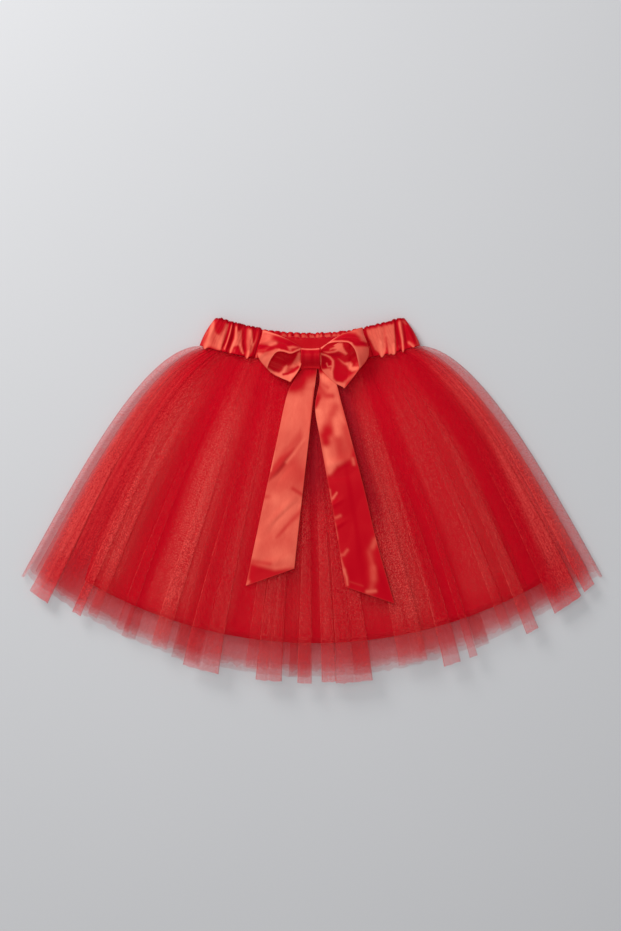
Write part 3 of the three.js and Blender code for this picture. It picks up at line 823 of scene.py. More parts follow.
# Light and shade on the casing: flat parts first, then folds, then thin lines.
CASING_MARKS = [
    Patch([
        (-96, 171), (-92, 170.5), (-91.5, 163), (-90, 158), (-86, 161), (-81, 168), (-78.5, 168.5),
        (-82, 160), (-84, 152), (-86, 144), (-91, 144), (-96, 146), (-100, 146), (-104, 143), (-101.5, 151),
        (-99, 158), (-98, 165),
    ], 0.76, 1.6),
    Stroke([(-93.5, 158), (-93, 150)], 3.0, 0.6),
    Patch([(-93, 170.5), (-79.5, 170), (-83.5, 163), (-88, 157), (-91.5, 160)], 0.02, 1.6),
    Stroke([(-94, 169), (-95, 163), (-97, 156), (-98.5, 150), (-102, 145)], 2.0, 0.95, end=1.5),
    Stroke([(-98, 171), (-104, 160)], 1.2, 0.5),
    Stroke([(-101.5, 163), (-105.5, 151)], 1.1, -0.1),
    Stroke([(-100, 160), (-103, 151), (-104, 148)], 0.9, 0.66),
    Stroke([(-88, 153), (-87.5, 146)], 2.6, 0.84),
    Stroke([(-79, 168), (-82, 160), (-84.5, 152), (-86.5, 146)], 1.7, 0.9, end=2.0),
    Stroke([(-76.7, 168), (-79, 160), (-81.5, 152), (-84.3, 145)], 1.3, -0.4),
    Stroke([(-75.5, 166), (-78, 158), (-80.5, 150), (-83, 144)], 0.9, 0.95),
    Stroke([(-72.8, 168), (-75, 158), (-77.5, 150), (-79.8, 144)], 1.7, -0.4),
    Patch([
        (-72, 168), (-70.5, 160), (-66.5, 160), (-65.8, 153), (-66.5, 146), (-64.5, 139.5), (-67.5, 141),
        (-70, 146), (-74, 145.5), (-78, 141), (-76, 147.5), (-73.8, 153),
    ], 0.76, 1.2),
    Stroke([(-71.3, 168), (-72, 160), (-72.5, 153), (-75, 147), (-77.5, 142)], 1.0, 0.95, end=1.6),
    Stroke([(-69.5, 166), (-69, 161)], 1.8, -0.25, end=1.2),
    Stroke([(-68.5, 148), (-66.8, 143), (-65.4, 140)], 1.4, 0.9, end=1.0),
    Stroke([(-73.5, 143), (-70.5, 145), (-70, 142)], 1.3, 0.0),
    Stroke([(-63.4, 166), (-64.6, 156), (-64.8, 150), (-63.4, 141)], 1.6, -0.3, end=1.2),
    Patch([
        (-61.5, 166.5), (-57.2, 166.5), (-56.6, 158), (-55.8, 150), (-51, 158), (-49.5, 158.5), (-53, 150),
        (-56.5, 141), (-59.5, 138), (-62.5, 135), (-62, 142), (-62.6, 150), (-62, 158),
    ], 0.7, 1.2),
    Stroke([(-59.5, 166), (-58.8, 160), (-57.3, 152), (-56.8, 147)], 1.6, 0.96, end=1.0),
    Stroke([(-60, 141), (-62, 136)], 1.2, 0.88),
    Patch([(-56.2, 165), (-52.5, 163.5), (-52.5, 157), (-55.2, 150)], -0.05, 1.0),
    Stroke([(-48.5, 160), (-51.5, 150), (-54.5, 141), (-56.5, 135)], 1.3, -0.5),
    Patch([
        (49, 163.5), (70, 169), (76.5, 168.5), (78.4, 171.5), (79.2, 160), (80.2, 150), (79.5, 138.5),
        (77.6, 136), (76.2, 138.6), (75, 140), (73, 137.5), (71.9, 143), (71, 149), (70.2, 142),
        (68.6, 139), (66.2, 136), (63.5, 140), (59.5, 142.5), (56, 150), (51.5, 157.5),
    ], 0.78, 0.9),
    Stroke([(68.5, 164), (69.5, 150)], 1.2, 0.66),
    Stroke([(65, 150), (66.5, 138)], 2.0, 0.97, end=1.4),
    Stroke([(70.3, 154), (71, 146)], 1.0, 0.5),
    Stroke([(77.6, 148), (77.8, 138)], 1.2, 0.95),
    Stroke([(77.3, 170), (78.2, 162), (79, 152)], 0.9, 0.9),
    Stroke([(75.8, 171), (75.3, 166)], 0.8, -0.1),
    Stroke([(79.2, 172), (80.8, 160), (82.2, 150), (84, 142)], 1.9, -0.42),
    Stroke([(81.5, 170.5), (88, 170.5)], 1.6, 0.66),
    Stroke([(82.4, 170), (84.4, 160), (85.8, 152), (86.2, 146), (86.3, 141)], 2.0, 0.92, end=1.0),
    Stroke([(87, 169), (89, 167)], 1.2, 0.62),
    Stroke([(88.4, 160), (89, 147)], 1.1, -0.15),
    Stroke([(94.5, 165), (96, 155), (97.5, 150), (99.3, 145)], 1.5, -0.3),
    Stroke([(92, 149.6), (96.2, 147)], 1.6, 0.8),
    Stroke([(98.2, 158), (99.5, 153), (100.6, 147)], 1.3, 0.66),
    Stroke([(92.5, 172), (97, 164), (100.5, 157)], 1.0, -0.7),
]

# The inside of the back, seen above the panel: ruffles with painted highlights and painted shade in the gaps.
INSIDE_MARKS = [
    Stroke([(-27, 158), (0, 157), (29, 158.5)], 3.2, 0.78, crisp=4),
    Stroke([(-31, 158), (-40, 159)], 3.0, 0.12, crisp=3),
    Stroke([(-23.5, 160), (-23.4, 154)], 1.0, -0.3, end=0.6),
    Stroke([(-18.5, 157), (-17.5, 153)], 1.6, -0.35, end=1.0),
    Stroke([(-16.8, 161), (-17.2, 158)], 0.5, -0.4),
    Stroke([(-12, 160), (-10.5, 155)], 1.3, -0.35, end=0.7),
    Stroke([(-4.4, 160), (-3.2, 155)], 1.5, -0.35, end=0.8),
    Stroke([(2.6, 160), (3, 155.5)], 0.9, -0.3, end=0.6),
    Stroke([(10.4, 160), (10.5, 156)], 0.8, -0.3, end=0.6),
    Stroke([(18, 160), (18.3, 156)], 0.8, 0.25),
    Stroke([(27, 161), (27.2, 157)], 1.3, -0.2, end=0.7),
]
# Painted light and shade on the front panel: along its seams, its top edge and beside the loops.
PANEL_MARKS = [
    Stroke([(-53, 158), (-56, 134)], 2.0, -0.45),
    Stroke([(-6, 155), (-2, 154), (4, 154.6), (9, 153.6)], 0.7, 0.62),
    Stroke([(-13, 156), (-10.6, 152.2), (-8, 156)], 0.7, 0.72),
    Stroke([(-16, 156), (-15.6, 152.4)], 0.6, 0.62),
    Stroke([(-26, 156.5), (-23, 154), (-19.5, 156)], 0.7, 0.62),
    Stroke([(-8, 145), (8, 145)], 0.7, 0.2),
    Stroke([(-18, 149), (18, 150)], 4.0, 0.05),
    Stroke([(-51.8, 139.5), (-53.2, 135)], 0.8, 0.8),
    Stroke([(-53, 134), (-49, 132.6)], 0.7, 0.7),
    Stroke([(50.5, 157), (55.5, 147), (58.5, 142)], 0.7, -0.3),
    Stroke([(55.2, 145.2), (56, 144)], 0.9, 0.85),
]


def on_band(top, s, v):
    """Plane position in the band: s from side to side, v from 0 at the top edge to 1 at the bottom edge."""
    x0, y0 = top.place(s)
    x1, y1 = band_bottom.place(s)
    return mix(x0, x1, v) + 1.6 * math.sin(math.pi * v) * s ** 3, mix(y0, y1, v)


def band_share(x):
    return (x - waist_x) / ((band_top_front.half + band_bottom.half) / 2)


def casing_fold(x, v):
    """Rise of the casing's folds at a place on its front."""
    rise = 0.0
    for fold in CASING_FOLDS:
        half = mix(fold["top"], fold["bottom"], v)
        away = (x - fold["x"] - fold["lean"] * (v - 0.5)) / half
        if abs(away) < 3:
            rise += fold["rise"] * math.exp(-away * away)
    return rise


def gathers(place, seed):
    """Uneven gathers: soft ridges with narrow valleys."""
    bent = place + 0.35 * wave(place * 0.6, 0, seed)
    return abs(math.cos(math.pi * bent)) ** 0.7 * (0.7 + 0.3 * wave(place * 0.9, 3, seed))


def band_profile(rows=26):
    """Places down the band's outside, over its top edge, and down its inside: v and share of depth."""
    outside = [(v, 0.0) for v in spread(rows, 1, 0.03)]
    angles = spread(7, 0, math.pi)[1:-1]
    turn = [(0.03 - 0.05 * math.sin(angle), 0.5 - 0.5 * math.cos(angle)) for angle in angles]
    inside = [(v, 1.0) for v in spread(rows, 0.03, 1)]
    return outside + turn + inside


def casing_front(s, v, depth, top_line, ends):
    """A point of the casing's front and its tone."""
    x, y = on_band(band_top_front, s, v)
    rise = casing_fold(x, v)
    tone = tone_at(CASING_MARKS, x, y, 0.03) if depth < 0.6 else 0.0
    bumps = 1.5 * gathers(s * 17, 5) + 0.5 * gathers(s * 40, 8) - 1.2
    bumps += max(0.0, band_top_back.place(s)[1] - band_top_front.place(s)[1] + 0.9)
    low = smooth((v - 0.75) / 0.25)
    y += bumps * (1 - smooth(v / 0.3)) - (2.6 * (tone - 0.25) + 0.5) * low
    outside = BAND_HEIGHT + rise + 0.3 * gathers(s * 34, 3) + 1.4 * low
    z = mix(outside, BAND_HEIGHT - BAND_WALL + 0.5 * rise, depth)
    # Painted shade along the band's top edge and at the seams beside the panel.
    seam = math.exp(-(min(abs(s - end) for end in ends) / 0.005) ** 2)
    return Vector((x, y, z)), mix(tone, -0.75, max(top_line, 0.6 * seam))


def casing_back(s, v, depth, top_line):
    """A point of the casing's back and its tone."""
    x, y = on_band(band_top_back, s, v)
    ridge = gathers(s * 15, 11)
    ruffle = 1.6 * (ridge - 0.5) + 0.6 * gathers(s * 38, 4) - 0.4 - 1.2 * smooth((abs(x) - 54) / 6)
    y += ruffle * (1 - smooth(v / 0.35))
    z = mix(0.25 + 0.6 * ridge, BAND_WALL + 1.6 * ridge, depth)
    # Painted highlight on the gathers' ridges outside; painted shade along the top edge.
    tone = tone_at(INSIDE_MARKS, x, y, 0.08) if depth > 0.4 else 0.4 * ridge
    return Vector((x, y, z)), mix(tone, -0.8, 0.9 * top_line)


def casing_side(way, angle, v, depth, top_line, edge):
    """A point of the casing where it turns round a side, and its tone."""
    radius = BAND_HEIGHT / 2
    upper = (1 + math.sin(angle)) / 2
    top_y = mix(band_top_back.y, band_top_front.y, upper)
    top = Edge(waist_x, top_y, 90, mix(band_top_back.radius, band_top_front.radius, upper))
    reach = 1 - depth * BAND_WALL / radius
    x, y = on_band(top, way * (edge + (1 - edge) * reach * math.cos(angle)), v)
    z = radius * (1 + reach * math.sin(angle))
    # Painted shade darkens the turn towards its underside and along its top edge.
    tone = tone_at(CASING_MARKS, x, y, 0.03) * (0.5 + 0.5 * math.sin(angle))
    return Vector((x, y, z)), mix(tone, -0.65, top_line)


def band_sheet(lines):
    """Points, cloth places and marks of a piece of the band, from its lines of points and tones."""
    grid = [[point for point, tone in line] for line in lines]
    marks = [[(tone,) for point, tone in line] for line in lines]
    lengths = cloth_across(grid[len(grid) // 2])[:-1]
    return grid[::-1], lengths, [i * BAND_STEP for i in range(len(grid))], marks[::-1]


def casing():
    """The gathered casing, from the panel's right end round the back to its left end."""
    edge = 1 - BAND_HEIGHT / 2 / band_bottom.half
    ends = (band_share(PANEL_RIGHT) + 0.002, band_share(PANEL_LEFT) - 0.002)
    turn = spread(9, math.pi / 2, -math.pi / 2)[1:-1]
    turn_back = spread(9, -math.pi / 2, math.pi / 2)[1:-1]
    lines = []
    for v, depth in band_profile():
        # How much painted shade lies along the top edge.
        top_line = math.exp(-(v / 0.06) ** 2) * (1 - 0.5 * depth)
        line = [casing_front(s, v, depth, top_line, ends) for s in spread(130, ends[0], edge)]
        line += [casing_side(1, angle, v, depth, top_line, edge) for angle in turn]
        line += [casing_back(s, v, depth, top_line) for s in spread(260, edge, -edge)]
        line += [casing_side(-1, angle, v, depth, top_line, edge) for angle in turn_back]
        line += [casing_front(s, v, depth, top_line, ends) for s in spread(130, -edge, ends[1])]
        lines.append(line)
    return band_sheet(lines)


def panel_place(s, v, depth):
    """A point of the front panel and its tone."""
    x, y = on_band(band_top_front, s, v)
    y += (0.7 * wave(x / 7, 0, 4) + 0.4 * wave(x / 2.5, 0, 4)) * (1 - smooth(v / 0.3))
    sag = 0.4 * wave(x / 18, v * 1.2, 6)
    z = BAND_HEIGHT + PANEL_RISE + sag * (1 - depth) - depth * BAND_WALL
    # Painted shade along the panel's top edge.
    top = math.exp(-(v / 0.025) ** 2)
    return Vector((x, y, z)), mix(tone_at(PANEL_MARKS, x, y, 0.06), -0.5, 0.7 * top)


def panel():
    """The flat front panel of the band between its two seams."""
    columns = spread(140, band_share(PANEL_LEFT) + 0.002, band_share(PANEL_RIGHT) - 0.002)
    return band_sheet([[panel_place(s, v, depth) for s in columns] for v, depth in band_profile()])


satin = satin_look("ribbon satin")
band_casing = cloth_object("band_casing", *casing())
dress(thicken(band_casing, BAND_CLOTH), satin, "satin", "waistband_back")
band_panel = cloth_object("band_panel", *panel())
dress(thicken(band_panel, BAND_CLOTH), satin, "satin", "waistband_front")

# Bow


def curve(points, place):
    """A point on a smooth curve through points, at a place counted in points."""
    last = len(points) - 1
    low = min(int(place), last - 1)
    f = place - low
    p0, p1, p2, p3 = (points[clamp(low + k, 0, last)] for k in (-1, 0, 1, 2))
    bend = 2 * p0 - 5 * p1 + 4 * p2 - p3
    return 0.5 * ((2 * p1) + (p2 - p0) * f + bend * f * f + (3 * (p1 - p2) + p3 - p0) * f ** 3)


# The ribbon of each loop, from the pinch out over the front, round the far fold and back behind to the
# pinch: its upper and lower edge on each line across it, how far that line bends outward, and how far the
# ribbon bulges up.
LEFT_LOOP = rows_of(
    "up low side bulge",
    ((-10.4, 144.4, 22.5), (-10.1, 142.0, 23.5), 0.0, 0.4),
    ((-15.5, 147.8, 24.0), (-14.5, 140.2, 26.0), 0.0, 0.5),
    ((-22.3, 151.4, 24.6), (-20.5, 138.0, 27.4), -0.5, 0.3),
    ((-29.5, 154.8, 24.2), (-26.8, 139.8, 27.8), -1.0, 0.2),
    ((-36.5, 157.6, 23.0), (-33.2, 139.6, 27.2), -2.2, 0.5),
    ((-42.5, 159.8, 20.8), (-38.4, 133.4, 25.0), -4.6, 0.8),
    ((-46.4, 160.8, 18.0), (-41.8, 125.6, 20.6), -7.4, 0.4),
    ((-45.1, 159.2, 15.8), (-40.2, 122.4, 17.6), -6.6, -0.3),
    ((-40.9, 156.8, 15.2), (-35.6, 118.4, 16.6), -4.5, -0.9),
    ((-35.0, 153.8, 15.0), (-28.8, 115.4, 17.0), -2.5, -1.5),
    ((-30.0, 151.6, 15.0), (-23.4, 113.2, 18.2), -0.8, -1.8),
    ((-28.4, 151.0, 15.0), (-20.6, 111.8, 18.6), -0.5, -1.8),
    ((-26.8, 150.2, 15.0), (-19.0, 113.6, 18.8), -0.4, -1.8),
    ((-19.7, 147.0, 15.4), (-15.4, 118.4, 20.2), 0.0, -1.4),
    ((-13.8, 144.6, 16.2), (-10.6, 127.0, 21.2), 0.0, -0.6),
    ((-10.5, 143.4, 17.5), (-9.8, 137.4, 21.0), 0.0, 0.0),
)
RIGHT_LOOP = rows_of(
    "up low side bulge",
    ((8.2, 143.8, 22.5), (8.3, 141.4, 23.5), 0.0, 0.3),
    ((14.2, 147.6, 24.0), (14.4, 147.0, 26.0), 0.0, 0.3),
    ((20.8, 152.4, 24.6), (21.2, 148.8, 27.2), 0.0, 0.3),
    ((28.0, 156.4, 24.4), (28.6, 149.0, 27.8), 0.4, 0.3),
    ((35.0, 158.8, 23.6), (35.2, 147.8, 28.0), 1.2, 0.4),
    ((41.2, 161.4, 22.4), (40.4, 141.6, 27.2), 3.4, 0.9),
    ((45.4, 162.8, 20.6), (43.0, 133.4, 24.8), 6.0, 1.0),
    ((47.6, 163.2, 18.2), (44.4, 125.4, 20.4), 8.0, 0.5),
    ((46.6, 161.0, 16.0), (42.2, 121.2, 17.8), 7.0, -0.3),
    ((42.4, 158.0, 15.3), (37.4, 114.4, 17.0), 4.6, -1.0),
    ((37.6, 155.3, 15.0), (32.6, 108.0, 17.1), 2.4, -1.5),
    ((36.4, 154.6, 15.0), (30.6, 105.8, 17.2), 2.0, -1.6),
    ((35.2, 154.0, 15.0), (28.4, 107.2, 17.3), 1.8, -1.6),
    ((28.6, 150.8, 15.0), (22.2, 110.6, 18.2), 0.5, -1.8),
    ((20.7, 146.8, 15.2), (15.0, 117.0, 19.4), 0.0, -1.4),
    ((13.6, 144.0, 15.9), (9.0, 124.6, 20.8), 0.0, -0.6),
    ((8.8, 142.4, 17.8), (7.8, 136.4, 21.0), 0.0, 0.0),
)

# Light and shade on the outside of each loop's front, and on its inside behind the rim.
LEFT_FRONT_MARKS = [
    Patch([
        (-47, 160.5), (-40, 159), (-36, 157), (-37, 152), (-33, 148.6), (-38, 145), (-42, 146),
        (-50.5, 147.5),
    ], 0.68, 2.2),
    Stroke([(-39.5, 146.4), (-34.5, 148)], 1.9, 0.82),
    Stroke([(-52, 145.6), (-45, 144), (-38, 142.8), (-30, 143.4), (-24, 142.8)], 1.9, -0.12),
    Stroke([(-52, 141.8), (-44, 141.4)], 1.0, 0.35),
    Patch([(-23, 146), (-12, 144.8), (-12, 146.4), (-18, 149), (-25, 149)], -0.2, 1.4),
    Patch([
        (-23.5, 145), (-18, 145.8), (-12.5, 144.4), (-15, 143), (-18.5, 142.6), (-20, 140.4), (-21.8, 141),
    ], 0.72, 1.0),
    Patch([
        (-53, 140.5), (-46, 139), (-40, 140.2), (-34, 143), (-31, 142.2), (-34.5, 139.5), (-38, 135),
        (-40.6, 131), (-42, 125), (-46, 126.5), (-49.5, 131), (-53, 136),
    ], 0.86, 1.4),
    Stroke([(-43.5, 137.5), (-38.5, 139)], 1.8, 0.72),
    Stroke([(-46, 159.8), (-35, 156.4), (-28, 154.3), (-20, 151.3), (-11, 146.2)], 1.3, 0.88, end=0.9),
    Stroke([(-46.6, 158.5), (-50, 148.5)], 1.2, 0.9),
    Stroke([(-42.5, 126), (-40.8, 131), (-38, 135), (-34.5, 139), (-31, 141.2)], 1.5, 0.97),
    Stroke([
        (-31, 141.2), (-26.8, 140.8), (-21, 139), (-18, 139.2), (-14, 141.2), (-11.3, 142.6),
    ], 1.2, 0.92),
]
LEFT_BACK_MARKS = [
    Patch([(-48, 116), (-48, 143), (-9, 143), (-9, 116)], 0.16, 2.0),
    Patch([
        (-12, 140.5), (-17, 137.6), (-24, 136), (-27, 131), (-22, 127), (-19.5, 130), (-15.5, 134.5),
    ], -0.05, 2.2),
    Stroke([(-39, 133), (-34, 139), (-29, 139.8), (-22, 137.2), (-15, 138.8)], 1.6, 0.05),
    Stroke([(-41, 126.4), (-36, 123.4), (-32, 122), (-29, 123)], 1.6, 0.1),
    Stroke([(-24.5, 121.8), (-20.5, 125.8)], 2.6, 0.48),
    Patch([
        (-11.5, 141), (-15.5, 134.5), (-18.8, 129), (-20.4, 125.3), (-17, 124.8), (-13.5, 126), (-12, 125),
        (-9, 127.5), (-10.5, 133), (-10.5, 139),
    ], 0.76, 1.0),
    Stroke([(-12, 138), (-13.4, 131), (-11.5, 128)], 1.6, 0.95),
    Patch([
        (-45, 127.5), (-41.5, 125.4), (-36, 121.8), (-31, 120.6), (-28.6, 122.4), (-26.6, 126), (-24, 128),
        (-22.6, 126.4), (-24.4, 122.5), (-26, 119.5), (-22, 119.4), (-17, 120.9), (-12, 125), (-8.5, 127.8),
        (-12, 121), (-18, 115), (-20.5, 111), (-30, 112.5), (-38, 117), (-44, 123.5),
    ], 0.95, 1.0),
    Stroke([(-27, 118.9), (-23, 119.6), (-18, 121.8), (-13, 125.9)], 1.0, 0.0),
    Stroke([(-38, 120.3), (-34, 117.4), (-31, 116.2)], 0.6, 0.5),
]
RIGHT_FRONT_MARKS = [
    Patch([
        (30, 158), (49, 165), (55, 155), (58, 146), (53.5, 148.2), (46.5, 150), (44.5, 153.5), (41, 157),
        (35, 158),
    ], 0.74, 1.6),
    Stroke([(50.6, 155), (52.5, 150)], 2.4, 0.92),
    Patch([
        (40, 145.4), (46, 145.4), (57, 145.2), (56, 139), (51, 130), (46, 123), (44, 126), (43.2, 133),
        (41, 140),
    ], 0.74, 1.4),
    Stroke([(24, 151.2), (34, 150.8), (38.6, 148.6)], 1.5, -0.3),
    Stroke([(40, 147.2), (47, 147.4), (56, 146.4)], 1.4, -0.12),
    Stroke([(9, 143.4), (17, 149.6), (25, 155.4), (33, 159)], 1.1, 0.8),
    Stroke([(55.2, 145.2), (56, 144)], 1.0, 0.9),
    Stroke([(9, 144.4), (14, 147.6), (20, 149.4), (28, 149.8), (34, 149.2), (37, 147.4)], 1.2, 0.93),
    Stroke([(36.6, 147.4), (39.8, 143.6), (42.2, 137.4), (44, 130), (45, 126)], 1.7, 0.98),
]
RIGHT_BACK_MARKS = [
    Stroke([(14, 137.4), (26, 137.6)], 2.0, -0.3),
    Stroke([(9, 144.8), (13, 146), (20, 146.6)], 1.4, -0.4),
    Patch([
        (19.5, 147), (24, 149.4), (29, 149), (29.8, 145), (31.5, 142), (34.5, 138.6), (32, 137.2),
        (28.5, 139.4), (25, 140.8), (21, 139.6), (15, 138.8), (11, 140.4), (16, 140.7), (20.5, 141.5),
        (22.6, 142.4), (19.5, 142.8), (16.5, 141.4), (17, 143.4), (21, 145.4),
    ], 0.92, 0.9),
    Patch([
        (30.4, 148.4), (34, 148.4), (38, 145), (41, 138), (42.6, 129.5), (40.5, 126.8), (39, 128.5),
        (37.5, 131.8), (30, 132), (33, 136), (34.8, 139), (32.4, 143),
    ], 0.0, 1.2),
    Patch([
        (25, 134), (31, 130.2), (36.5, 131.2), (38.6, 129.5), (38.8, 126.6), (42, 126.6), (46.5, 126.5),
        (44, 122.6), (38, 121.4), (35, 123.4), (33, 127), (29, 129.6),
    ], 0.94, 1.1),
    Patch([
        (8.6, 137), (14, 135.5), (18, 132.4), (18.6, 128), (16, 125), (12, 124.2), (8, 126),
    ], -0.18, 1.2),
    Patch([
        (6, 125.4), (10, 123.8), (13.5, 124.6), (17, 125), (19.2, 120), (19.8, 115.6), (23, 112.4),
        (29, 111.4), (33.5, 113.4), (31, 105.5), (24, 108.6), (18, 112), (12, 118), (6, 123.4),
    ], 0.88, 1.0),
    Stroke([
        (8.5, 138.2), (13, 137.2), (17, 135.2), (19.8, 131.8), (19.8, 127), (18.4, 121), (18.6, 116),
    ], 1.2, 0.93, end=1.6),
    Stroke([(13.8, 129.4), (15, 126.2), (18.6, 126.8)], 1.0, 0.84),
    Stroke([(7.8, 136), (8.2, 131), (7.2, 126)], 1.1, 0.84),
    Stroke([(32, 112), (40.5, 119), (46, 124)], 1.8, 0.6),
]


def bow_loop(rows, turn, front_strokes, back_strokes, seed, steps=200, columns=68):
    """The ribbon of a loop, with creases from its pinch. It turns back at the row numbered turn."""
    ups, lows = [Vector(row["up"]) for row in rows], [Vector(row["low"]) for row in rows]
    bends = [Vector((row["side"], row["bulge"], 0)) for row in rows]
    last = len(rows) - 1
    grid, marks = [], []
    for place in spread(steps, 0, last):
        up, low, bend = curve(ups, place), curve(lows, place), curve(bends, place)
        out = math.sin(math.pi * place / last)
        front = place < turn
        strokes = front_strokes if front else back_strokes
        line, line_marks = [], []
        for share in spread(columns, 0, 1):
            p = up.lerp(low, share)
            arch = math.sin(math.pi * share)
            crease = wave(share * 6, place * 0.16, seed + (0 if front else 6))
            p.x += bend.x * math.sin(math.pi * share ** 1.5)
            tone = tone_at(strokes, p.x, p.y, 0.05)
            p.z += bend.y * arch + (0.8 * crease + 0.9 * clamp(tone, -0.5, 1)) * out * arch
            line.append(p)
            # Painted highlight along the ribbon's edges.
            rim = math.exp(-(min(share, 1 - share) / 0.018) ** 2)
            line_marks.append((mix(tone, max(tone, 0.7), 0.5 * rim),))
        grid.append(line)
        marks.append(line_marks)
    return grid, spread(columns, 0, 35), spread(steps, 0, 95), marks


sheet = bow_loop(LEFT_LOOP, 6.3, LEFT_FRONT_MARKS, LEFT_BACK_MARKS, 3)
left_loop = cloth_object("bow_loop_left_ribbon", *sheet)
dress(thicken(left_loop, RIBBON_CLOTH, 0.0), satin, "satin", "bow_loop_left")
sheet = bow_loop(RIGHT_LOOP, 7.3, RIGHT_FRONT_MARKS, RIGHT_BACK_MARKS, 14)
right_loop = cloth_object("bow_loop_right_ribbon", *sheet)
dress(thicken(right_loop, RIBBON_CLOTH, 0.0), satin, "satin", "bow_loop_right")

KNOT = dict(x=-1.5, y=134.0, half_length=9.0, half_height=9.6, low=12.3, depth=12.6)


def bow_knot(turns=56, columns=22):
    """The band of ribbon wrapped round the pinch, drawn in at its middle."""
    grid, marks = [], []
    for turn in spread(turns, math.pi * 1.5, -math.pi * 0.5):
        line, line_marks = [], []
        for share in spread(columns, -1, 1):
            waist = 1 - 0.07 * (1 - share * share)
            up = math.copysign(abs(math.sin(turn)) ** 0.55, math.sin(turn))
            side = math.copysign(abs(math.cos(turn)) ** 0.55, math.cos(turn))
            pleat = 0.35 * wave(share * 2.2, turn * 0.4, 31)
            y = KNOT["y"] + KNOT["half_height"] * waist * side
            fall = max(0, up) * (pleat - 7.5 * smooth(0.1 - side))
            z = KNOT["low"] + KNOT["depth"] / 2 * (1 + up * waist) + fall
            line.append(Vector((KNOT["x"] + KNOT["half_length"] * share * (1 - 0.04 * side), y, z)))
            # Painted highlight along the knot's top edge, painted shade just under it, and a slightly lighter
            # lower side.
            top = math.exp(-((side - 0.9) / 0.08) ** 2) * (up > 0)
            under_top = math.exp(-((side - 0.68) / 0.1) ** 2) * (up > 0)
            soft = 0.08 + 0.1 * wave(share * 2.5, turn, 8)
            low = smooth((-0.1 - side) / 0.8)
            line_marks.append((mix(mix(mix(soft, -0.1, under_top), 0.16, low), 0.88, top),))
        grid.append(line)
        marks.append(line_marks)
    return grid, spread(columns, 0, 18), spread(turns, 0, 42), marks


knot = cloth_object("bow_knot_band", *bow_knot())
dress(thicken(knot, RIBBON_CLOTH), satin, "satin", "bow_knot")

LEFT_TAIL = rows_of(
    "left right",
    ((-7.5, 134), (2.5, 134)),
    ((-8.5, 126), (4.8, 126)),
    ((-16.5, 114), (3.6, 114)),
    ((-24.0, 98), (1.4, 97)),
    ((-33.5, 54), (-3.4, 54)),
    ((-43.6, 8), (-8.6, 8)),
    ((-53.0, -36), (-13.2, -32)),
    ((-62.6, -81), (-16.6, -64.6)),
)
RIGHT_TAIL = rows_of(
    "left right",
    ((0, 134), (5.7, 134)),
    ((5.4, 126), (9.7, 126)),
    ((7.2, 113), (21.4, 114)),
    ((3.0, 88), (28.4, 90)),
    ((7.6, 58), (36.4, 60)),
    ((16.2, 10), (49.0, 12)),
    ((24.4, -38), (62.0, -42)),
    ((31.5, -82), (78.2, -98)),
)
# Painted light and shade on the tails: salmon highlights, dark creases, and the bow's shadow on their tops.
LEFT_TAIL_MARKS = [
    Stroke([(-14, 102), (-19, 86), (-22, 72)], 9.0, 0.84),
    Patch([(-40, 28), (-22, 35), (-7, 24), (-8, 9), (-16, 11), (-28, 10), (-44, 9)], 0.64, 3.5),
    Stroke([(-20, 38), (-10, 24)], 9.0, 0.52),
    Patch([
        (-11, 66), (-7, 54), (-19, 40), (-30, 28), (-41, 19), (-38.5, 31), (-29, 43), (-20, 55),
    ], 0.56, 2.0),
    Patch([(-17, 49), (-22, 37), (-31, 27), (-42, 18), (-39.5, 28), (-30, 40)], 0.34, 1.6),
    Stroke([(-7, 58), (-17, 44), (-24, 36)], 1.8, 0.84),
    Stroke([(-35.5, 46), (-39, 28)], 1.2, 0.9),
    Stroke([(-20, -8), (-34, -22)], 8.0, 0.86),
    Stroke([(-18, 11), (-8, 4.5)], 2.0, 0.42),
    Stroke([(-47, 3), (-41, 3.5)], 2.0, 0.5),
    Stroke([(-34, 0), (-24, -6)], 6.0, 0.9),
    Stroke([(-10, -10), (-20, -20), (-33, -35)], 2.6, 0.52, end=1.6),
    Stroke([(-25, -38), (-40, -42)], 5.0, 0.7),
    Stroke([(-52, -38), (-56, -52)], 3.5, 0.86),
    Stroke([(-21, -56), (-34, -50)], 6.0, 0.86),
    Stroke([(-56, -58), (-40, -60)], 2.4, 0.5),
    Patch([
        (-60, -59), (-48, -63), (-35, -66.4), (-15, -64.4), (-15, -72), (-45, -86), (-66, -88),
        (-60.5, -74),
    ], 0.14, 1.8),
    Stroke([(-60, -77), (-62.5, -81)], 2.0, 0.74),
    Patch([(-28, 102), (-16, 101), (-9, 101), (-4, 111), (4, 116), (6, 138), (-30, 138)], 0.45, 3.0),
    Patch([(-28, 104), (-16, 104), (-9, 106.5), (-5, 116), (4, 120), (6, 138), (-30, 138)], 0.04, 2.6),
    Patch([(-28, 106), (-14, 107), (-9, 112), (-8, 122), (-7, 134), (-30, 138)], -0.2, 2.0),
    Stroke([(2, 106), (-2, 66)], 0.8, 0.5),
]
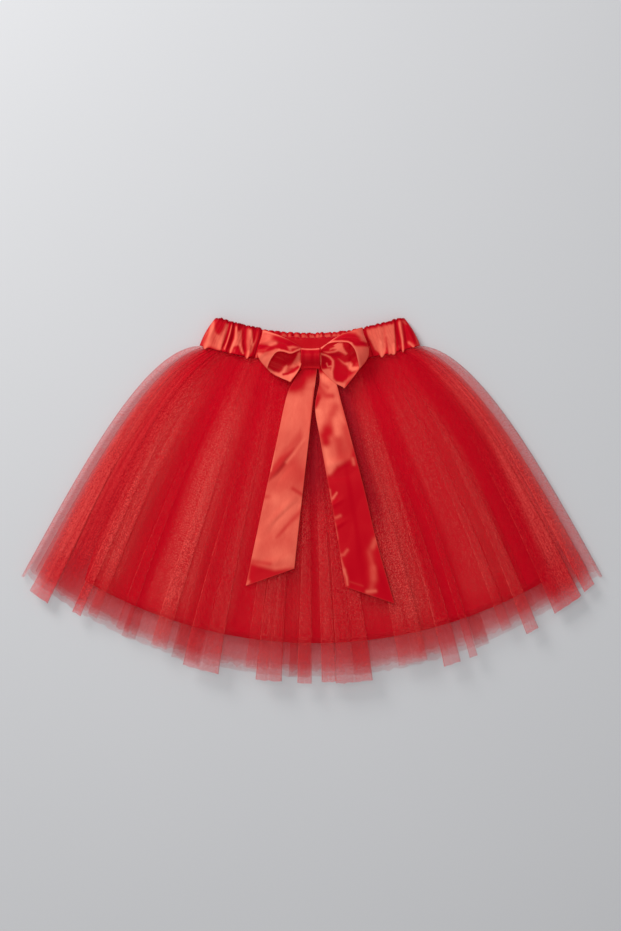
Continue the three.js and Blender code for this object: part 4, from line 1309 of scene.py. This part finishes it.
RIGHT_TAIL_MARKS = [
    Patch([
        (6, 120), (23, 120), (29, 90), (34, 70), (38, 56), (36, 44), (30, 36), (23, 28), (18, 22), (13, 22),
        (8, 54), (1, 82), (1, 90), (7, 97),
    ], 0.84, 2.4),
    Stroke([(32, 68), (35, 52), (33, 42)], 5.0, 0.5),
    Stroke([(25, 56), (28, 42)], 6.0, 0.46),
    Stroke([(10, 117), (13, 114)], 3.0, 1.0),
    Stroke([(2, 113), (6, 104), (5.5, 97), (3, 88)], 4.6, 0.1, end=2.0),
    Stroke([(8, 103), (13, 99), (19, 98.5)], 4.4, 0.46, end=2.4),
    Stroke([(10, 109), (15, 106.5)], 1.8, 0.62),
    Stroke([(6, 84), (8, 70), (12, 52), (17, 34)], 3.4, 0.97),
    Stroke([(22, 88), (18.5, 80), (15, 68)], 4.2, 0.56),
    Stroke([(15, 65), (12, 61), (13, 55)], 6.0, 0.1, end=4.4),
    Stroke([(23, 76), (24, 64)], 3.6, 0.9),
    Stroke([(38.6, 39), (39.6, 34)], 2.2, 0.66),
    Patch([(13, 21), (20, 24), (24, 31), (35, 31), (41, 30), (50, 20), (54, 8), (14, 8)], 0.03, 2.6),
    Stroke([(17.3, 0.6), (20, 2.2), (23.4, 7)], 1.9, 0.84, end=1.2),
    Stroke([(17, 10), (18, 0)], 1.2, 0.6),
    Stroke([(22.6, -16.6), (26.6, -14.6)], 2.0, 0.66),
    Stroke([(21.4, -22), (24, -36)], 1.3, 0.6),
    Stroke([(26.6, -52), (30, -51.4), (33.4, -47)], 1.9, 0.66),
    Stroke([(27, -55), (30.5, -66)], 1.5, 0.62),
    Stroke([(30, -66), (32.6, -73), (33.6, -80)], 2.2, 0.78, end=1.4),
    Stroke([(60, -37), (54.5, -49), (57, -62), (58.5, -75), (55.5, -86)], 4.0, 0.42),
    Stroke([(60, -38), (57.5, -44)], 2.4, 0.6),
    Stroke([(58, -64), (58, -74)], 3.2, 0.58),
    Stroke([(52, -86.4), (60, -85.8)], 2.0, 0.74),
    Stroke([(36, -77), (48, -81)], 1.2, 0.3),
    Patch([(-2, 138), (-2, 124), (7, 122), (12, 124), (12, 138)], 0.0, 2.0),
]


def surface_of(*objects):
    """What lies under the ribbons, to be felt from above."""
    vertices, faces = [], []
    for obj in objects:
        first = len(vertices)
        vertices += [v.co.copy() for v in obj.data.vertices]
        faces += [[first + k for k in p.vertices] for p in obj.data.polygons]
    return BVHTree.FromPolygons(vertices, faces)


covers = surface_of(outer_net, band_casing, band_panel)


def cover_height(x, y):
    """Top of what lies under a place, in millimetres."""
    start = (Vector((x, y, 60)) + SHIFT) * MM
    hit = covers.ray_cast(start, Vector((0, 0, -1)))[0]
    return hit.z / MM if hit else 0.0


def resting_height(x, y):
    """A ribbon spans the hollows, so its height is that of the highest cover close by."""
    return max(cover_height(x + dx, y + dy) for dx in (-6, -3, 0, 3, 6) for dy in (-6, 0, 6))


def blurred(grid, rounds):
    """A grid of heights, each round replaced by the mean of those beside it."""
    for _ in range(rounds):
        rows, columns = len(grid), len(grid[0])
        grid = [
            [
                sum(
                    grid[clamp(i + di, 0, rows - 1)][clamp(j + dj, 0, columns - 1)]
                    for di in (-1, 0, 1)
                    for dj in (-1, 0, 1)
                )
                / 9
                for j in range(columns)
            ]
            for i in range(rows)
        ]
    return grid


def crease_rise(creases, x, y):
    """How far a tail's creases stand up or sink at a place."""
    rise = 0.0
    for crease in creases:
        angle = math.radians(crease["tilt"])
        dx, dy = x - crease["x"], y - crease["y"]
        long = (dx * math.cos(angle) + dy * math.sin(angle)) / crease["long"]
        wide = (dy * math.cos(angle) - dx * math.sin(angle)) / crease["wide"]
        rise += crease["rise"] * math.exp(-(long ** 2 + wide ** 2))
    return rise


TAIL_GAP = 0.9  # between a tail and the highest cover under it
TAIL_LIFT = 3.2  # how much higher a tail stands in its upper half, so that it throws a shadow


def tail_lift(along):
    return TAIL_LIFT * smooth((along - 0.05) / 0.12) * (1 - smooth((along - 0.5) / 0.5))


def ribbon_tail(rows, strokes, base, seed, creases, steps=250, columns=56):
    """A tail above the net, lifted in its upper half and down at its tip, with soft diagonal creases."""
    lefts, rights = [Vector(row["left"]) for row in rows], [Vector(row["right"]) for row in rows]
    flat = []
    for place in spread(steps, 0, len(rows) - 1):
        left, right = curve(lefts, place), curve(rights, place)
        flat.append([left.lerp(right, share) for share in spread(columns, 0, 1)])
    heights = blurred([[resting_height(p.x, p.y) for p in line] for line in flat], 12)
    grid, marks = [], []
    for i, line in enumerate(flat):
        made, line_marks = [], []
        for j, p in enumerate(line):
            share = j / (columns - 1)
            soft = 0.5 * wave(p.x / 20, p.y / 30, seed)
            crease = max(-0.3, crease_rise(creases, p.x, p.y) + soft)
            made.append(Vector((p.x, p.y, heights[i][j] + TAIL_GAP + tail_lift(i / steps) + crease)))
            # Painted highlight along the ribbon's edges and its cut end.
            rim = math.exp(-(min(share, 1.4 * (1 - share)) / 0.03) ** 2)
            end = math.exp(-((steps - 1 - i) / 1.2) ** 2)
            tone = tone_at(strokes, p.x, p.y, base)
            line_marks.append((mix(tone, max(tone, 0.62), 0.5 * max(rim, end)),))
        grid.append(made)
        marks.append(line_marks)
    return grid, spread(columns, 0, 36), spread(steps, 0, 230), marks


LEFT_CREASES = rows_of(
    "x y long wide tilt rise",
    (-28, 27, 18, 3.4, 52, -1.0),
    (-31, 32, 18, 3.4, 52, 0.9),
    (-25, -16, 17, 3.4, 46, -0.9),
    (-29, -11, 17, 3.4, 46, 0.8),
    (-40, -60, 16, 4, 20, 0.6),
)
RIGHT_CREASES = rows_of(
    "x y long wide tilt rise",
    (25, 36, 14, 4, 15, 0.9),
    (27, 24, 14, 4, 15, -0.8),
    (20, -4, 9, 2.4, 30, 0.9),
    (24, -24, 9, 2.4, 30, 0.8),
    (60, -66, 20, 3, -68, 1.2),
)

sheet = ribbon_tail(LEFT_TAIL, LEFT_TAIL_MARKS, 0.76, 51, LEFT_CREASES)
left_tail = cloth_object("bow_tail_left_ribbon", *sheet)
dress(thicken(left_tail, RIBBON_CLOTH), satin, "satin", "bow_tail_left")
sheet = ribbon_tail(RIGHT_TAIL, RIGHT_TAIL_MARKS, 0.04, 57, RIGHT_CREASES)
right_tail = cloth_object("bow_tail_right_ribbon", *sheet)
dress(thicken(right_tail, RIBBON_CLOTH), satin, "satin", "bow_tail_right")

# Floor, light and camera

bpy.ops.object.select_all(action="DESELECT")
bpy.ops.mesh.primitive_plane_add(size=8, location=(0, 0, -0.0004))
floor = bpy.context.object
floor.name = "table_top"
floor.data.materials.append(floor_look("table top"))


def soft_light(name, place, target, width, power):
    """A square soft light that faces a point."""
    data = bpy.data.lights.new(name, "AREA")
    data.size = width
    data.energy = power
    lamp = bpy.data.objects.new(name, data)
    lamp.location = place
    lamp.rotation_euler = (Vector(target) - Vector(place)).to_track_quat("-Z", "Y").to_euler()
    lamp.visible_camera = False
    bpy.context.scene.collection.objects.link(lamp)


soft_light("window", (-1.1, 1.45, 1.1), (-0.05, 0.05, 0), 0.85, 31.5)
soft_light("overhead", (-0.15, 0.2, 1.7), (-0.05, 0.05, 0), 0.7, 5.6)

world = bpy.data.worlds.new("room")
world.use_nodes = True
world.node_tree.nodes["Background"].inputs["Color"].default_value = (0.96, 0.97, 1.0, 1.0)
world.node_tree.nodes["Background"].inputs["Strength"].default_value = 0.37
bpy.context.scene.world = world

SEEN_LONG_SIDE = 0.884  # metres of table along the photo's long side
CAMERA_HEIGHT = 2.1  # metres above the plane that SEEN_LONG_SIDE is measured in
PHOTO_PLANE = 0.009  # height of that plane above the table
PHOTO_MIDDLE = (-0.0014, 0.0330)  # x and y under the middle of the photo
camera = bpy.data.objects.new("camera", bpy.data.cameras.new("camera"))
camera.data.sensor_width = 36
camera.data.lens = 36 * CAMERA_HEIGHT / SEEN_LONG_SIDE
camera.location = (*PHOTO_MIDDLE, CAMERA_HEIGHT + PHOTO_PLANE)
bpy.context.scene.collection.objects.link(camera)
bpy.context.scene.camera = camera

bpy.context.scene.view_settings.view_transform = "Standard"
bpy.context.scene.cycles.transparent_max_bounces = 32
